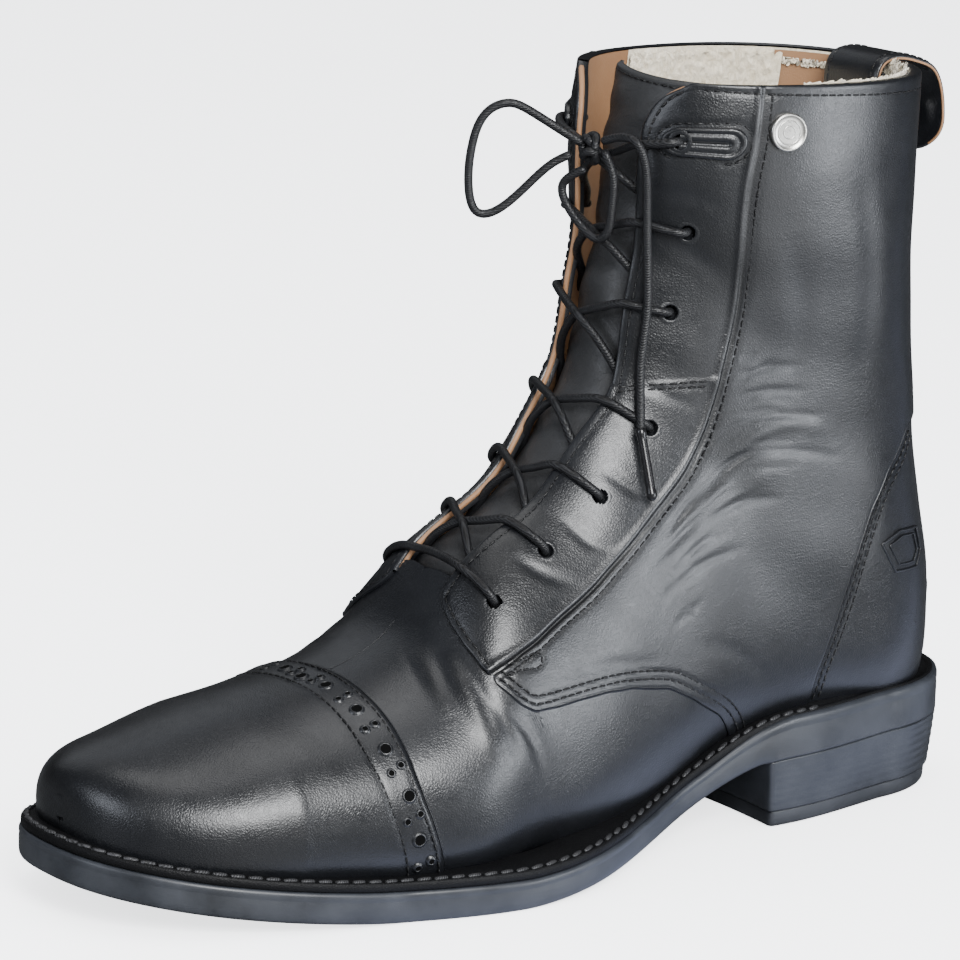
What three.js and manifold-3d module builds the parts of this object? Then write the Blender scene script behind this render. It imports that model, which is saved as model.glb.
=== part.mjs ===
// Paddock boot, left foot: lace-up front, zip down the back, fold-over tab at the top of the zip.
// Millimetres, +X to the toe, +Y to the wearer's left (outer side), +Z up.
// The origin is the middle of the heel's floor face.
import * as THREE from "three";
import { mergeVertices } from "three/addons/utils/BufferGeometryUtils.js";
import Module from "manifold-3d";

const wasm = await Module();
wasm.setup();

// Driving sizes
const LENGTH = 288; // sole, heel to toe
const BALL_WIDTH = 100; // sole, at the ball
const SHAFT_HEIGHT = 210; // floor to the front of the collar
const HEEL_HEIGHT = 20.4; // floor to the sole at the heel's front
const HEEL_CENTRE = 43; // heel's back to the origin
const HEEL_LENGTH = 82.6;
const LIFT_HEIGHT = 4.8;
const HEEL_INSET = 0.9;
const HEEL_TAPER = 1.8;
const WALL = 2.4;
const PANEL_STEP = 0.9; // quarters and facings over vamp and heel panel
const TUCK = 6; // how far the upper's sections run below the sole's top
const WELT_INSET = 0.8;
const SOLE_BEVEL = 0.8;
const GAP = 0.3;
const CAP_THICK = 1.0;
const INSOLE_RISE = 1.6;
const NOSE_HEIGHT = 11;
const TONGUE_THICK = 2.2;
const TONGUE_MARGIN = 9;
const TONGUE_CLEAR = 1.35;
const TONGUE_RISE = 3;
const TONGUE_SINK = 5; // how much deeper the tongue lies at the collar
const TONGUE_SHIFT = 8; // how far it leans to the outer side there
const EYELET_RADIUS = 2.0;
const PATCH_LENGTH = 22;
const PATCH_WIDTH = 10;
const PATCH_THICK = 1.2;
const BADGE_RADIUS = 5.2;
const BADGE_THICK = 1.6;
const ZIP_SLOT = 6.4;
const ZIP_FOOT = 72; // height of the zip's lower end
const ZIP_TAPE = 20;
const TAPE_THICK = 1.0;
const TAPE_CLEAR = 1.35;
const CHAIN_WIDTH = 4.6;
const CHAIN_DEEP = 0.6;
const SLIDER_DROP = 11; // collar line to the zip's slider
const SLIDER_LENGTH = 8.4;
const SLIDER_WIDTH = 7.6;
const PULL_LENGTH = 20;
const PULL_WIDTH = 4.6;
const CUT = 12; // how far cutting shapes run past the wall
const SPUR_LOW = 42;
const SPUR_HIGH = 57;
const SPUR_DEPTH = 2.4;
const SPUR_HALF = 17;
const HEEL_BACK = 9; // back line of the upper over the heel
const TAB_WIDTH = 22;
const TAB_THICK = 2.2;
const STUD_RADIUS = 4.5;
const STUD_THICK = 3;
const LACE_RADIUS = 1.05;
const LACE_SIDES = 8;

// Sole: half width at shares of the length, in ball widths
const SOLE_WIDTH = table(["along", "half"], [
  [0.12, 0.313], [0.25, 0.335], [0.4, 0.295], [0.52, 0.4], [0.64, 0.502], [0.74, 0.468],
]);
const HEEL_ROUND = 0.12;
const TOE_START = 0.74;
const TOE_POWER = 2.4;
// Sole: centre line, in ball widths towards the outer side
const SOLE_CURVE = table(["along", "side"], [
  [0, 0.01], [0.12, 0], [0.25, 0.023], [0.4, 0.058], [0.52, 0.09],
  [0.64, 0.021], [0.76, -0.032], [0.88, -0.092], [1, -0.133],
]);
// Sole: underside over the floor, in heel heights
const SOLE_RISE = table(["along", "rise"], [
  [0, 1.05], [0.1, 1.035], [0.19, 1.02], [0.255, 1.01], [0.285, 0.985], [0.315, 0.885], [0.35, 0.711],
  [0.42, 0.353], [0.5, 0.157], [0.58, 0.037], [0.635, -0.01], [0.73, -0.01], [0.8, 0.078],
  [0.9, 0.26], [1, 0.505],
]);
// Edge: thickness of the outsole and of the welt or heel rand over it, in millimetres
const EDGE = table(["along", "sole", "welt"], [
  [0, 7.7, 4.6], [0.26, 7.8, 4.6], [0.36, 7.8, 2.6], [0.5, 7.8, 2.6], [0.75, 8.6, 2.6], [1, 8.6, 2.6],
]);

// Upper: each section stands between a point of the back or sole line and one of the ridge line.
// x in lengths, z in shaft heights (null: TUCK under the sole's top), half width and lean of the
// ridge in ball widths, widest as a share of the section, powers of its two rounded halves.
const SECTIONS = table(
  ["backX", "backZ", "ridgeX", "ridgeZ", "half", "widest", "low", "high", "lean"],
  [
    [0.8264, null, 0.8264, 0.2321, 0.412, 0.4, 2.9, 2.2, -0.07],
    [0.7431, null, 0.7431, 0.2573, 0.43, 0.38, 2.9, 2.2, -0.035],
    [0.6528, null, 0.6563, 0.3088, 0.452, 0.37, 2.9, 2.2, -0.01],
    [0.5556, null, 0.609, 0.4066, 0.375, 0.36, 2.8, 2.2, 0.015],
    [0.4444, null, 0.5346, 0.476, 0.343, 0.37, 2.7, 2.2, 0.02],
    [0.3194, null, 0.4844, 0.5548, 0.335, 0.4, 2.8, 2.2, 0.01],
    [0.1806, null, 0.4527, 0.6256, 0.34, 0.42, 3.2, 2.2, 0],
    [0.053, 0.1143, 0.4433, 0.6937, 0.353, 0.43, 2.9, 2.2, 0],
    [0.0315, 0.2381, 0.4392, 0.7381, 0.35, 0.44, 2.65, 2.2, 0],
    [0.0401, 0.381, 0.4305, 0.7905, 0.35, 0.45, 2.2, 2.2, 0],
    [0.062, 0.5238, 0.4268, 0.8429, 0.37, 0.46, 2.2, 2.2, 0],
    [0.0778, 0.6667, 0.4259, 0.8952, 0.398, 0.46, 2.2, 2.2, 0],
    [0.086, 0.819, 0.4219, 0.9476, 0.413, 0.46, 2.2, 2.2, 0],
    [0.0852, 0.99, 0.4143, 0.9995, 0.413, 0.46, 2.2, 2.2, 0],
  ],
);
// Toe: ridge height over the floor, x in lengths, z in shaft heights
const TOE_RIDGE = table(["x", "z"], [
  [0.6563, 0.3088], [0.7431, 0.2573], [0.8264, 0.2321], [0.9097, 0.2005], [0.9757, 0.1914],
]);
const TIP = 0.981;
const NOSE = 0.912;
const NOSE_POWER = 2.8;
const UNDER = 0.896;
const UNDER_POWER = 3;

// Seams in the side view, x in lengths, z in shaft heights
const FLAP_FRONT = table(["x", "z"], [
  [0.627, 0.37], [0.6302, 0.349], [0.633, 0.334], [0.6337, 0.314], [0.6302, 0.2924],
]);
const WING = table(["x", "z"], [
  [0.624, 0.273], [0.607, 0.249], [0.5917, 0.237], [0.5368, 0.242], [0.4736, 0.242],
  [0.4267, 0.23], [0.3972, 0.21], [0.3503, 0.173], [0.338, 0.12],
]);
const HEEL_SEAM = table(["x", "z"], [
  [0.231, 0.12], [0.2274, 0.17], [0.2243, 0.208], [0.2142, 0.255], [0.202, 0.314],
  [0.191, 0.366], [0.1747, 0.42], [0.1528, 0.467], [0.1167, 0.519], [0.075, 0.562],
]);
const CAP_SEAM = table(["x", "z"], [
  [0.72, 0.35], [0.72, 0.262], [0.7205, 0.177], [0.7174, 0.149], [0.7073, 0.112],
  [0.701, 0.074], [0.6913, 0.03],
]);
// Throat: half its opening, measured over the surface, at shares of the travel of the sections
const THROAT = table(["travel", "open"], [
  [0.222, 11.6], [0.3, 11.6], [0.38, 11.6], [0.46, 13.6], [0.53, 15.2], [0.62, 14.4], [0.95, 14.4], [1.03, 23],
]);
// Eyelets: place in the travel and distance from the ridge over the surface
const EYELETS = table(["travel", "off"], [
  [0.245, 25.9], [0.317, 24.2], [0.404, 26.5], [0.517, 29.9], [0.677, 28], [0.793, 29.2], [0.912, 25.5],
]);

const BADGE = { travel: 0.953, off: 53.3 };
// Fold-over tab: its outer face in the side view, from inside the collar over the rim to its tip
const TAB_PATH = table(["x", "z"], [
  [0.1222, 0.905], [0.1215, 0.952], [0.1185, 0.984], [0.107, 1.0005], [0.0833, 1.0035], [0.0625, 0.997],
  [0.0417, 0.9845], [0.029, 0.957], [0.024, 0.92], [0.025, 0.886], [0.031, 0.862],
]);
const STUD_AT = [0.0392, 0.91];

// Free lace: points of the bow and of the hanging end, x, y, z from the heel's back, in millimetres
const KNOT = [127.4, 2.6, 190.5];
const LOOP_FRONT = [
  [130.1, 0.1, 192.2], [133.6, -3.6, 195], [140.3, -9.2, 200.1], [144.3, -12, 201.9], [148, -14.6, 200.7],
  [150.8, -16.5, 197.1], [152.6, -17.6, 190.6], [153.2, -18.1, 180.5], [151.3, -16.9, 172.4],
  [147.7, -14.4, 172.2], [141.4, -10, 178.2], [135.4, -5.6, 185.4], [131.6, -2.6, 188.2],
];
const LOOP_FALL = [
  [129.6, 1.2, 184.6], [131.6, -1.6, 182.6], [132.5, -3.6, 179.8], [132.1, -2.7, 175.8], [130.8, 0.7, 171.3],
  [129.5, 4.4, 168], [128.3, 7.7, 166.8], [127.4, 10.2, 169.3], [127.2, 11.4, 176.2], [127.1, 11.4, 184],
  [127.6, 8.2, 190],
];
const END_FALL = [
  [127.5, 7.8, 193.4], [125.8, 12.4, 194.8], [124.8, 17.4, 194.2], [123.4, 19.9, 189.2], [122, 19.9, 175.8],
  [121.6, 20.5, 161.2], [122.2, 21.7, 148], [123.9, 22.1, 136.2], [125, 23.7, 126.2], [126.5, 26.2, 117.9],
];
const AGLET = [[126.6, 26.4, 117.5], [126.9, 32.4, 101]];

const BLACK = leather(0x1c1d20, 0.38);
const SATIN = leather(0x232428, 0.5);

// Helpers

function table(names, rows) {
  return rows.map((row) => Object.fromEntries(names.map((name, i) => [name, row[i]])));
}

function leather(color, roughness, metalness = 0) {
  return new THREE.MeshStandardMaterial({ color, roughness, metalness });
}

// Natural cubic spline through (xs, ys), straight past its ends
function spline(xs, ys) {
  const n = xs.length;
  const h = xs.slice(1).map((x, i) => x - xs[i]);
  const slope = h.map((d, i) => (ys[i + 1] - ys[i]) / d);
  const diagonal = new Array(n).fill(1);
  const bend = new Array(n).fill(0);
  for (let i = 1; i < n - 1; i++) {
    const carry = i > 1 ? h[i - 1] / diagonal[i - 1] : 0;
    diagonal[i] = 2 * (h[i - 1] + h[i]) - carry * (i > 1 ? h[i - 1] : 0);
    bend[i] = 6 * (slope[i] - slope[i - 1]) - carry * (i > 1 ? bend[i - 1] : 0);
  }
  bend[n - 1] = 0;
  for (let i = n - 2; i > 0; i--) {
    bend[i] = (bend[i] - h[i] * bend[i + 1]) / diagonal[i];
  }
  bend[0] = 0;
  const first = slope[0] - (h[0] * bend[1]) / 6;
  const last = slope[n - 2] + (h[n - 2] * bend[n - 2]) / 6;
  return (x) => {
    if (x <= xs[0]) return ys[0] + (x - xs[0]) * first;
    if (x >= xs[n - 1]) return ys[n - 1] + (x - xs[n - 1]) * last;
    let k = 0;
    while (x > xs[k + 1]) k++;
    const a = (xs[k + 1] - x) / h[k];
    const b = 1 - a;
    const curve = (a ** 3 - a) * bend[k] + (b ** 3 - b) * bend[k + 1];
    return a * ys[k] + b * ys[k + 1] + (curve * h[k] ** 2) / 6;
  };
}

function columnSpline(rows, key, value) {
  return spline(rows.map((r) => r[key]), rows.map((r) => r[value]));
}

function straight(rows, key, value, x) {
  if (x <= rows[0][key]) return rows[0][value];
  for (let i = 1; i < rows.length; i++) {
    if (x <= rows[i][key]) {
      const t = (x - rows[i - 1][key]) / (rows[i][key] - rows[i - 1][key]);
      return rows[i - 1][value] * (1 - t) + rows[i][value] * t;
    }
  }
  return rows[rows.length - 1][value];
}

const clamp = (x, low, high) => Math.min(Math.max(x, low), high);

// Sole's outline and heights at x from the heel's back

const widthAt = columnSpline(SOLE_WIDTH, "along", "half");
const curveAt = columnSpline(SOLE_CURVE, "along", "side");
const riseAt = columnSpline(SOLE_RISE, "along", "rise");

function soleHalf(x) {
  const s = clamp(x / LENGTH, 0, 1);
  const heel = clamp((HEEL_ROUND - s) / HEEL_ROUND, 0, 1);
  const toe = clamp((s - TOE_START) / (1 - TOE_START), 0, 1);
  const middle = BALL_WIDTH * widthAt(clamp(s, HEEL_ROUND, TOE_START));
  return middle * Math.sqrt(1 - heel ** 2) * (1 - toe ** TOE_POWER) ** (1 / TOE_POWER);
}

const soleCentre = (x) => BALL_WIDTH * curveAt(clamp(x / LENGTH, 0, 1));
const soleBottom = (x) => HEEL_HEIGHT * Math.max(riseAt(clamp(x / LENGTH, 0, 1)), 0);
const soleTop = (x) => soleBottom(x) + straight(EDGE, "along", "sole", x / LENGTH);
const weltTop = (x) => soleTop(x) + straight(EDGE, "along", "welt", x / LENGTH);

// Form of the upper

const rows = SECTIONS.map((s) => ({
  bx: s.backX * LENGTH,
  bz: s.backZ === null ? soleTop(s.backX * LENGTH) - TUCK : s.backZ * SHAFT_HEIGHT,
  tx: s.ridgeX * LENGTH,
  tz: s.ridgeZ * SHAFT_HEIGHT,
  half: s.half * BALL_WIDTH,
  widest: s.widest,
  low: s.low,
  high: s.high,
  lean: s.lean * BALL_WIDTH,
}));
rows[0].u = 0;
for (let i = 1; i < rows.length; i++) {
  const a = rows[i - 1];
  const b = rows[i];
  const back = Math.hypot(b.bx - a.bx, b.bz - a.bz);
  const ridge = Math.hypot(b.tx - a.tx, b.tz - a.tz);
  b.u = a.u + (back + ridge) / 2;
}
const COLLAR = rows[rows.length - 1].u;
const at = {};
for (const key of ["bx", "bz", "tx", "tz", "half", "widest", "low", "high", "lean"]) {
  at[key] = columnSpline(rows, "u", key);
}
const toeRidge = spline(
  TOE_RIDGE.map((r) => r.x * LENGTH),
  TOE_RIDGE.map((r) => r.z * SHAFT_HEIGHT),
);
const TOE_BACK = rows[0].bx;
const TOE_DEPTH = TIP * LENGTH - TOE_BACK;

// How much the ends of a leaning section move for one millimetre of skin
function spread(u, x, z, dx, dz) {
  const tx = at[x](u + 1) - at[x](u - 1);
  const tz = at[z](u + 1) - at[z](u - 1);
  const across = Math.abs(tx * dz - tz * dx) / (Math.hypot(tx, tz) * Math.hypot(dx, dz));
  return 1 / Math.max(across, 0.6);
}

// Section at u millimetres of travel (u < 0 in the toe), grown by skin millimetres
function section(u, skin = 0) {
  if (u >= 0) {
    const s = { cb: 0 };
    for (const key of Object.keys(at)) s[key] = at[key](u);
    const x = Math.max(s.bx, 0);
    s.cb = soleCentre(x) * clamp(1 - (s.bz - soleTop(x)) / 60, 0, 1);
    const dx = s.tx - s.bx;
    const dz = s.tz - s.bz;
    const length = Math.hypot(dx, dz);
    const back = (skin * spread(u, "bx", "bz", dx, dz)) / length;
    const ridge = (skin * spread(u, "tx", "tz", dx, dz)) / length;
    return {
      ...s,
      bx: s.bx - dx * back,
      bz: s.bz - dz * back,
      tx: s.tx + dx * ridge,
      tz: s.tz + dz * ridge,
      half: s.half + skin,
    };
  }
  const depth = TOE_DEPTH + skin;
  const x = TOE_BACK + depth * Math.sin((clamp(-u / TOE_DEPTH, 0, 0.94) * Math.PI) / 2);
  const tip = TOE_BACK + depth;
  const middle = soleTop(x) + NOSE_HEIGHT;
  const over = clamp((x - NOSE * LENGTH) / (tip - NOSE * LENGTH), 0, 1);
  const under = clamp((x - UNDER * LENGTH) / (tip - UNDER * LENGTH), 0, 1);
  const round = clamp((x - TOE_START * LENGTH) / (tip - TOE_START * LENGTH), 0, 1);
  const centre = soleCentre(x);
  return {
    bx: x,
    tx: x,
    bz: middle - (NOSE_HEIGHT + TUCK + skin) * (1 - under ** UNDER_POWER) ** (1 / UNDER_POWER),
    tz: middle + (toeRidge(x) + skin - middle) * (1 - over ** NOSE_POWER) ** (1 / NOSE_POWER),
    half: (rows[1].half + skin) * (1 - round ** TOE_POWER) ** (1 / TOE_POWER),
    widest: rows[0].widest,
    low: rows[0].low,
    high: rows[0].high,
    cb: centre,
    lean: rows[0].lean + centre - soleCentre(TOE_BACK),
  };
}

// Half of a section: shares up its plane and widths, with the arc from the ridge
function halfSection(s) {
  const steps = 40;
  const height = Math.hypot(s.tx - s.bx, s.tz - s.bz);
  const out = [];
  for (let i = 0; i <= 2 * steps; i++) {
    const phi = ((i <= steps ? i : i - steps) * Math.PI) / 2 / steps;
    const upper = i <= steps;
    const c = Math.max(Math.cos(phi), 0);
    const t = upper
      ? s.widest + (1 - s.widest) * c ** (2 / s.high)
      : s.widest - s.widest * Math.sin(phi) ** (2 / s.low);
    const w = s.half * (upper ? Math.sin(phi) ** (2 / s.high) : c ** (2 / s.low));
    const last = out[out.length - 1];
    const arc = last ? last.arc + Math.hypot((t - last.t) * height, w - last.w) : 0;
    out.push({ t, w, arc });
  }
  return out;
}

function along(half, arc) {
  let k = 0;
  while (k < half.length - 2 && arc > half[k + 1].arc) k++;
  const a = half[k];
  const b = half[k + 1];
  const f = b.arc > a.arc ? (arc - a.arc) / (b.arc - a.arc) : 0;
  return { t: a.t + (b.t - a.t) * f, w: a.w + (b.w - a.w) * f };
}

function onSection(s, p, side) {
  return new THREE.Vector3(
    s.bx + (s.tx - s.bx) * p.t,
    s.cb + (s.lean - s.cb) * p.t + side * p.w,
    s.bz + (s.tz - s.bz) * p.t,
  );
}

// Closed loop of a section: ridge, outer side, bottom, inner side
function sectionLoop(u, skin, count) {
  const s = section(u, skin);
  const half = halfSection(s);
  const total = half[half.length - 1].arc;
  const loop = [];
  for (let i = 0; i < 2 * count; i++) {
    const share = i <= count ? i / count : (2 * count - i) / count;
    loop.push(onSection(s, along(half, share * total), i <= count ? 1 : -1));
  }
  return loop;
}

// Point of the skin at a distance off the ridge measured over the base form; side +1 is outer
function skinPoint(u, off, side, skin) {
  const base = halfSection(section(u, 0));
  const grown = section(u, skin);
  const half = halfSection(grown);
  const share = off / base[base.length - 1].arc;
  return onSection(grown, along(half, share * half[half.length - 1].arc), side);
}

function skinNormal(u, off, side, skin) {
  const p = skinPoint(u, off, side, skin);
  const q = skinPoint(u + 2, off, side, skin).sub(p);
  const r = skinPoint(u, off + 2, side, skin).sub(p);
  return r.cross(q).multiplyScalar(side).normalize();
}

// Point beside the ridge, and beside the back line; across is positive on the outer side
function byRidge(u, across, skin) {
  return skinPoint(u, Math.abs(across), across < 0 ? -1 : 1, skin);
}

function byBack(u, across, skin) {
  const base = halfSection(section(u, 0));
  return skinPoint(u, base[base.length - 1].arc - Math.abs(across), across < 0 ? -1 : 1, skin);
}

// Solids

// Closed solid through loops of points, all of one length, capped at both ends
function loft(loops) {
  const n = loops[0].length;
  const points = loops.flat();
  const faces = [];
  for (let i = 0; i + 1 < loops.length; i++) {
    for (let j = 0; j < n; j++) {
      const a = i * n + j;
      const b = i * n + ((j + 1) % n);
      faces.push([a, b, b + n], [a, b + n, a + n]);
    }
  }
  for (const [start, turn] of [[0, 1], [(loops.length - 1) * n, -1]]) {
    const centre = new THREE.Vector3();
    for (let j = 0; j < n; j++) centre.addScaledVector(points[start + j], 1 / n);
    points.push(centre);
    for (let j = 0; j < n; j++) {
      const a = start + j;
      const b = start + ((j + 1) % n);
      faces.push(turn > 0 ? [points.length - 1, b, a] : [points.length - 1, a, b]);
    }
  }
  let volume = 0;
  for (const [a, b, c] of faces) {
    volume += points[a].dot(points[b].clone().cross(points[c]));
  }
  const index = faces.flatMap(([a, b, c]) => (volume > 0 ? [a, b, c] : [a, c, b]));
  const geometry = new THREE.BufferGeometry();
  geometry.setAttribute(
    "position",
    new THREE.Float32BufferAttribute(points.flatMap((p) => [p.x, p.y, p.z]), 3),
  );
  geometry.setIndex(index);
  return geometry;
}

function solid(geometry) {
  const bare = new THREE.BufferGeometry();
  bare.setAttribute("position", geometry.getAttribute("position"));
  if (geometry.index) bare.setIndex(geometry.index);
  const merged = mergeVertices(bare, 1e-4);
  return new wasm.Manifold(
    new wasm.Mesh({
      numProp: 3,
      vertProperties: new Float32Array(merged.attributes.position.array),
      triVerts: new Uint32Array(merged.index.array),
    }),
  );
}

function shape(made) {
  const mesh = made.simplify(FINEST).getMesh();
  const geometry = new THREE.BufferGeometry();
  const values = mesh.vertProperties;
  const step = mesh.numProp;
  const position = [];
  for (let i = 0; i < values.length / step; i++) {
    position.push(values[i * step], values[i * step + 1], values[i * step + 2]);
  }
  geometry.setAttribute("position", new THREE.Float32BufferAttribute(position, 3));
  geometry.setIndex(Array.from(mesh.triVerts));
  return geometry;
}

const TOE_ROWS = 7;
const FAN_ROWS = 22;
const AROUND = 12;
const FINEST = 0.1;

// Solid of the whole form grown by skin, up to the collar and reach millimetres past it
function form(skin, reach = 0) {
  const loops = [];
  for (let i = 0; i < TOE_ROWS; i++) {
    loops.push(sectionLoop(-TOE_DEPTH * 0.94 * (1 - i / TOE_ROWS), skin, AROUND));
  }
  for (let i = 0; i <= FAN_ROWS; i++) {
    loops.push(sectionLoop((COLLAR * i) / FAN_ROWS, skin, AROUND));
  }
  if (reach > 0) loops.push(sectionLoop(COLLAR + reach, skin, AROUND));
  return solid(loft(loops));
}

// Prism of a side view outline, x and z, between two y values
function prism(outline, from, to) {
  const face = new THREE.Shape(outline.map(([x, z]) => new THREE.Vector2(x, z)));
  const geometry = new THREE.ExtrudeGeometry(face, { depth: to - from, bevelEnabled: false });
  geometry.rotateX(Math.PI / 2);
  geometry.translate(0, to, 0);
  return solid(geometry);
}

// Smooth line through the rows of a seam, in millimetres
function seamLine(seam, steps) {
  const curve = new THREE.SplineCurve(
    seam.map((r) => new THREE.Vector2(r.x * LENGTH, r.z * SHAFT_HEIGHT)),
  );
  return curve.getPoints(steps).map((p) => [p.x, p.y]);
}

// Plate over the sole's outline between two height functions
function plate(from, to, stations, inset, low, high, bevel) {
  const loops = [];
  for (let i = 0; i <= stations; i++) {
    const x = from + ((to - from) * (1 - Math.cos((Math.PI * i) / stations))) / 2;
    const half = Math.max(soleHalf(x) - inset(x), 0.8);
    const c = soleCentre(x);
    const b = Math.min(bevel, half / 2);
    const z = [low(x), high(x)];
    loops.push(
      [
        [half - b, z[0]], [half, z[0] + b], [half, z[1] - b / 2], [half - b / 2, z[1]],
        [-half + b / 2, z[1]], [-half, z[1] - b / 2], [-half, z[0] + b], [-half + b, z[0]],
      ].map(([y, h]) => new THREE.Vector3(x, c + y, h)),
    );
  }
  return loft(loops);
}

// Everything under a height function, wider and longer than the boot
function below(high) {
  const loops = [];
  for (let i = -4; i <= 40; i++) {
    const x = (LENGTH * i) / 36;
    const z = high(clamp(x, 0, LENGTH));
    loops.push(
      [[-120, -60], [120, -60], [120, z], [-120, z]].map(([y, h]) => new THREE.Vector3(x, y, h)),
    );
  }
  return solid(loft(loops));
}

// Strip of skin between travels u and v: spanAt gives its two edges, inner and outer its skins
function strip(place, u, v, steps, spanAt, across, inner, outer) {
  const loops = [];
  for (let i = 0; i <= steps; i++) {
    const w = u + ((v - u) * i) / steps;
    const [from, to] = spanAt(w);
    const loop = [];
    for (let j = 0; j <= across; j++) loop.push(place(w, from + ((to - from) * j) / across, outer(w)));
    for (let j = across; j >= 0; j--) loop.push(place(w, from + ((to - from) * j) / across, inner(w)));
    loops.push(loop);
  }
  return solid(loft(loops));
}

// Cylinder along a direction, centred on a point
function disc(centre, direction, radius, length, sides) {
  const geometry = new THREE.CylinderGeometry(radius, radius, length, sides);
  const turn = new THREE.Quaternion().setFromUnitVectors(new THREE.Vector3(0, 1, 0), direction);
  geometry.applyQuaternion(turn);
  geometry.translate(centre.x, centre.y, centre.z);
  return solid(geometry);
}

// Round cord along a smooth line through points
function cord(points, radius, step) {
  const line = new THREE.CatmullRomCurve3(
    points.map((p) => (p.isVector3 ? p : new THREE.Vector3(...p))),
    false,
    "centripetal",
  );
  const section = new THREE.Shape();
  for (let i = 0; i < LACE_SIDES; i++) {
    const angle = (2 * Math.PI * i) / LACE_SIDES;
    const x = radius * Math.cos(angle);
    const y = radius * Math.sin(angle);
    if (i === 0) section.moveTo(x, y);
    else section.lineTo(x, y);
  }
  section.closePath();
  const steps = Math.max(2, Math.round(line.getLength() / step));
  return new THREE.ExtrudeGeometry(section, { steps, extrudePath: line, bevelEnabled: false });
}

// Sub-parts

const root = new THREE.Group();

function add(name, geometry, material) {
  geometry.computeVertexNormals();
  const mesh = new THREE.Mesh(geometry, material);
  mesh.name = name;
  root.add(mesh);
}

// Outsole, heel and lift

add(
  "outsole",
  plate(0.04, LENGTH - 0.04, 34, () => 0, soleBottom, soleTop, SOLE_BEVEL),
  leather(0x24262c, 0.45),
);

function heelLoop(z, inset) {
  const loop = [];
  const steps = 16;
  for (const side of [1, -1]) {
    for (let i = 0; i <= steps; i++) {
      const share = side > 0 ? i / steps : 1 - i / steps;
      const x = inset + (HEEL_LENGTH - inset) * Math.sin((share * Math.PI) / 2) ** 2;
      const scaled = (x - inset) * (HEEL_LENGTH / (HEEL_LENGTH - inset));
      const half = Math.max(soleHalf(Math.max(scaled, 0.02)) - inset, 0);
      const height = typeof z === "function" ? z(x) : z;
      if (side < 0 && (i === steps || half === 0)) continue;
      loop.push(new THREE.Vector3(x, soleCentre(x) + side * half, height));
    }
  }
  return loop;
}

add(
  "heel",
  loft([
    heelLoop(LIFT_HEIGHT, HEEL_INSET + HEEL_TAPER * 0.75),
    heelLoop((x) => soleBottom(x) - GAP, HEEL_INSET),
  ]),
  leather(0x22242a, 0.5),
);
add(
  "heel_lift",
  loft([heelLoop(0, HEEL_INSET + HEEL_TAPER), heelLoop(LIFT_HEIGHT, HEEL_INSET + HEEL_TAPER * 0.8)]),
  leather(0x17181a, 0.8),
);

// Welt and heel rand, upper and insole

const skinForm = form(0, 12);
const hollowForm = form(-WALL, 14);
const insoleForm = form(-WALL - 0.4);
const weltInset = (x) => WELT_INSET + 0.6 * clamp(1 - x / (0.3 * LENGTH), 0, 1);

add(
  "welt",
  shape(
    solid(
      plate(1.2, LENGTH - 0.9, 34, weltInset, (x) => soleTop(x) + GAP, weltTop, 0.5),
    ).subtract(hollowForm),
  ),
  leather(0x131314, 0.6),
);
add(
  "insole",
  shape(
    insoleForm
      .intersect(below((x) => weltTop(x) + INSOLE_RISE))
      .subtract(below((x) => soleTop(x) + GAP)),
  ),
  leather(0xd8cdb4, 0.95),
);

const EDGE_OUT = 240;
const quarterOutline = [
  [0.66 * LENGTH, EDGE_OUT + 20], [0.66 * LENGTH, 0.5 * SHAFT_HEIGHT], [0.612 * LENGTH, 0.43 * SHAFT_HEIGHT],
  ...seamLine(FLAP_FRONT, 6), ...seamLine(WING, 12), ...seamLine(HEEL_SEAM, 10),
  [-40, 0.59 * SHAFT_HEIGHT], [-40, EDGE_OUT + 20],
];
const raised = form(PANEL_STEP, 12).subtract(form(-1, 12));

const throatAt = (u) => straight(THROAT, "travel", "open", u / COLLAR);
const openSpan = (u) => [-throatAt(u), throatAt(u)];
const throatFrom = (share, low) =>
  strip(byRidge, COLLAR * share, COLLAR + 10, 26, openSpan, 4, () => low, () => 9);
const throat = throatFrom(0.222, -9);
const quarters = raised.intersect(prism(quarterOutline, -EDGE_OUT, EDGE_OUT)).subtract(throatFrom(0.17, -4));
const ground = below((x) => weltTop(x) + GAP);
const rim = section(COLLAR);
const rimSlope = (rim.tz - rim.bz) / (rim.tx - rim.bx);
const rimAt = (x) => rim.bz + (x - rim.bx) * rimSlope;
const SKY = [-0.2 * LENGTH, 0.9 * LENGTH];
const skyTop = SHAFT_HEIGHT * 2;
const sky = prism(
  [[SKY[0], rimAt(SKY[0])], [SKY[1], rimAt(SKY[1])], [SKY[1], skyTop], [SKY[0], skyTop]],
  -EDGE_OUT,
  EDGE_OUT,
);

function eyeletPlaces(side) {
  return EYELETS.map((e) => {
    const u = e.travel * COLLAR;
    return {
      point: skinPoint(u, e.off, side, 0),
      normal: skinNormal(u, e.off, side, 0),
      u,
      off: e.off,
    };
  });
}

// Travel of the section whose lower end is at a height on the back line
function travelAt(z) {
  let low = rows[7].u;
  let high = COLLAR + 12;
  for (let i = 0; i < 40; i++) {
    const u = (low + high) / 2;
    if (section(u).bz < z) low = u;
    else high = u;
  }
  return high;
}

const zipFoot = travelAt(ZIP_FOOT);
const slotSpan = () => [-ZIP_SLOT / 2, ZIP_SLOT / 2];
const slot = strip(byBack, zipFoot, COLLAR + CUT, 14, slotSpan, 2, () => -CUT * 0.75, () => CUT * 0.75);

let upper = skinForm.add(quarters).subtract(hollowForm).subtract(ground).subtract(throat).subtract(sky);
upper = upper.subtract(slot);
for (const side of [1, -1]) {
  for (const e of eyeletPlaces(side)) {
    upper = upper.subtract(disc(e.point, e.normal, EYELET_RADIUS, CUT, 8));
  }
}
add("upper", shape(upper), BLACK);

// Toe cap over the front of the upper

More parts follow.
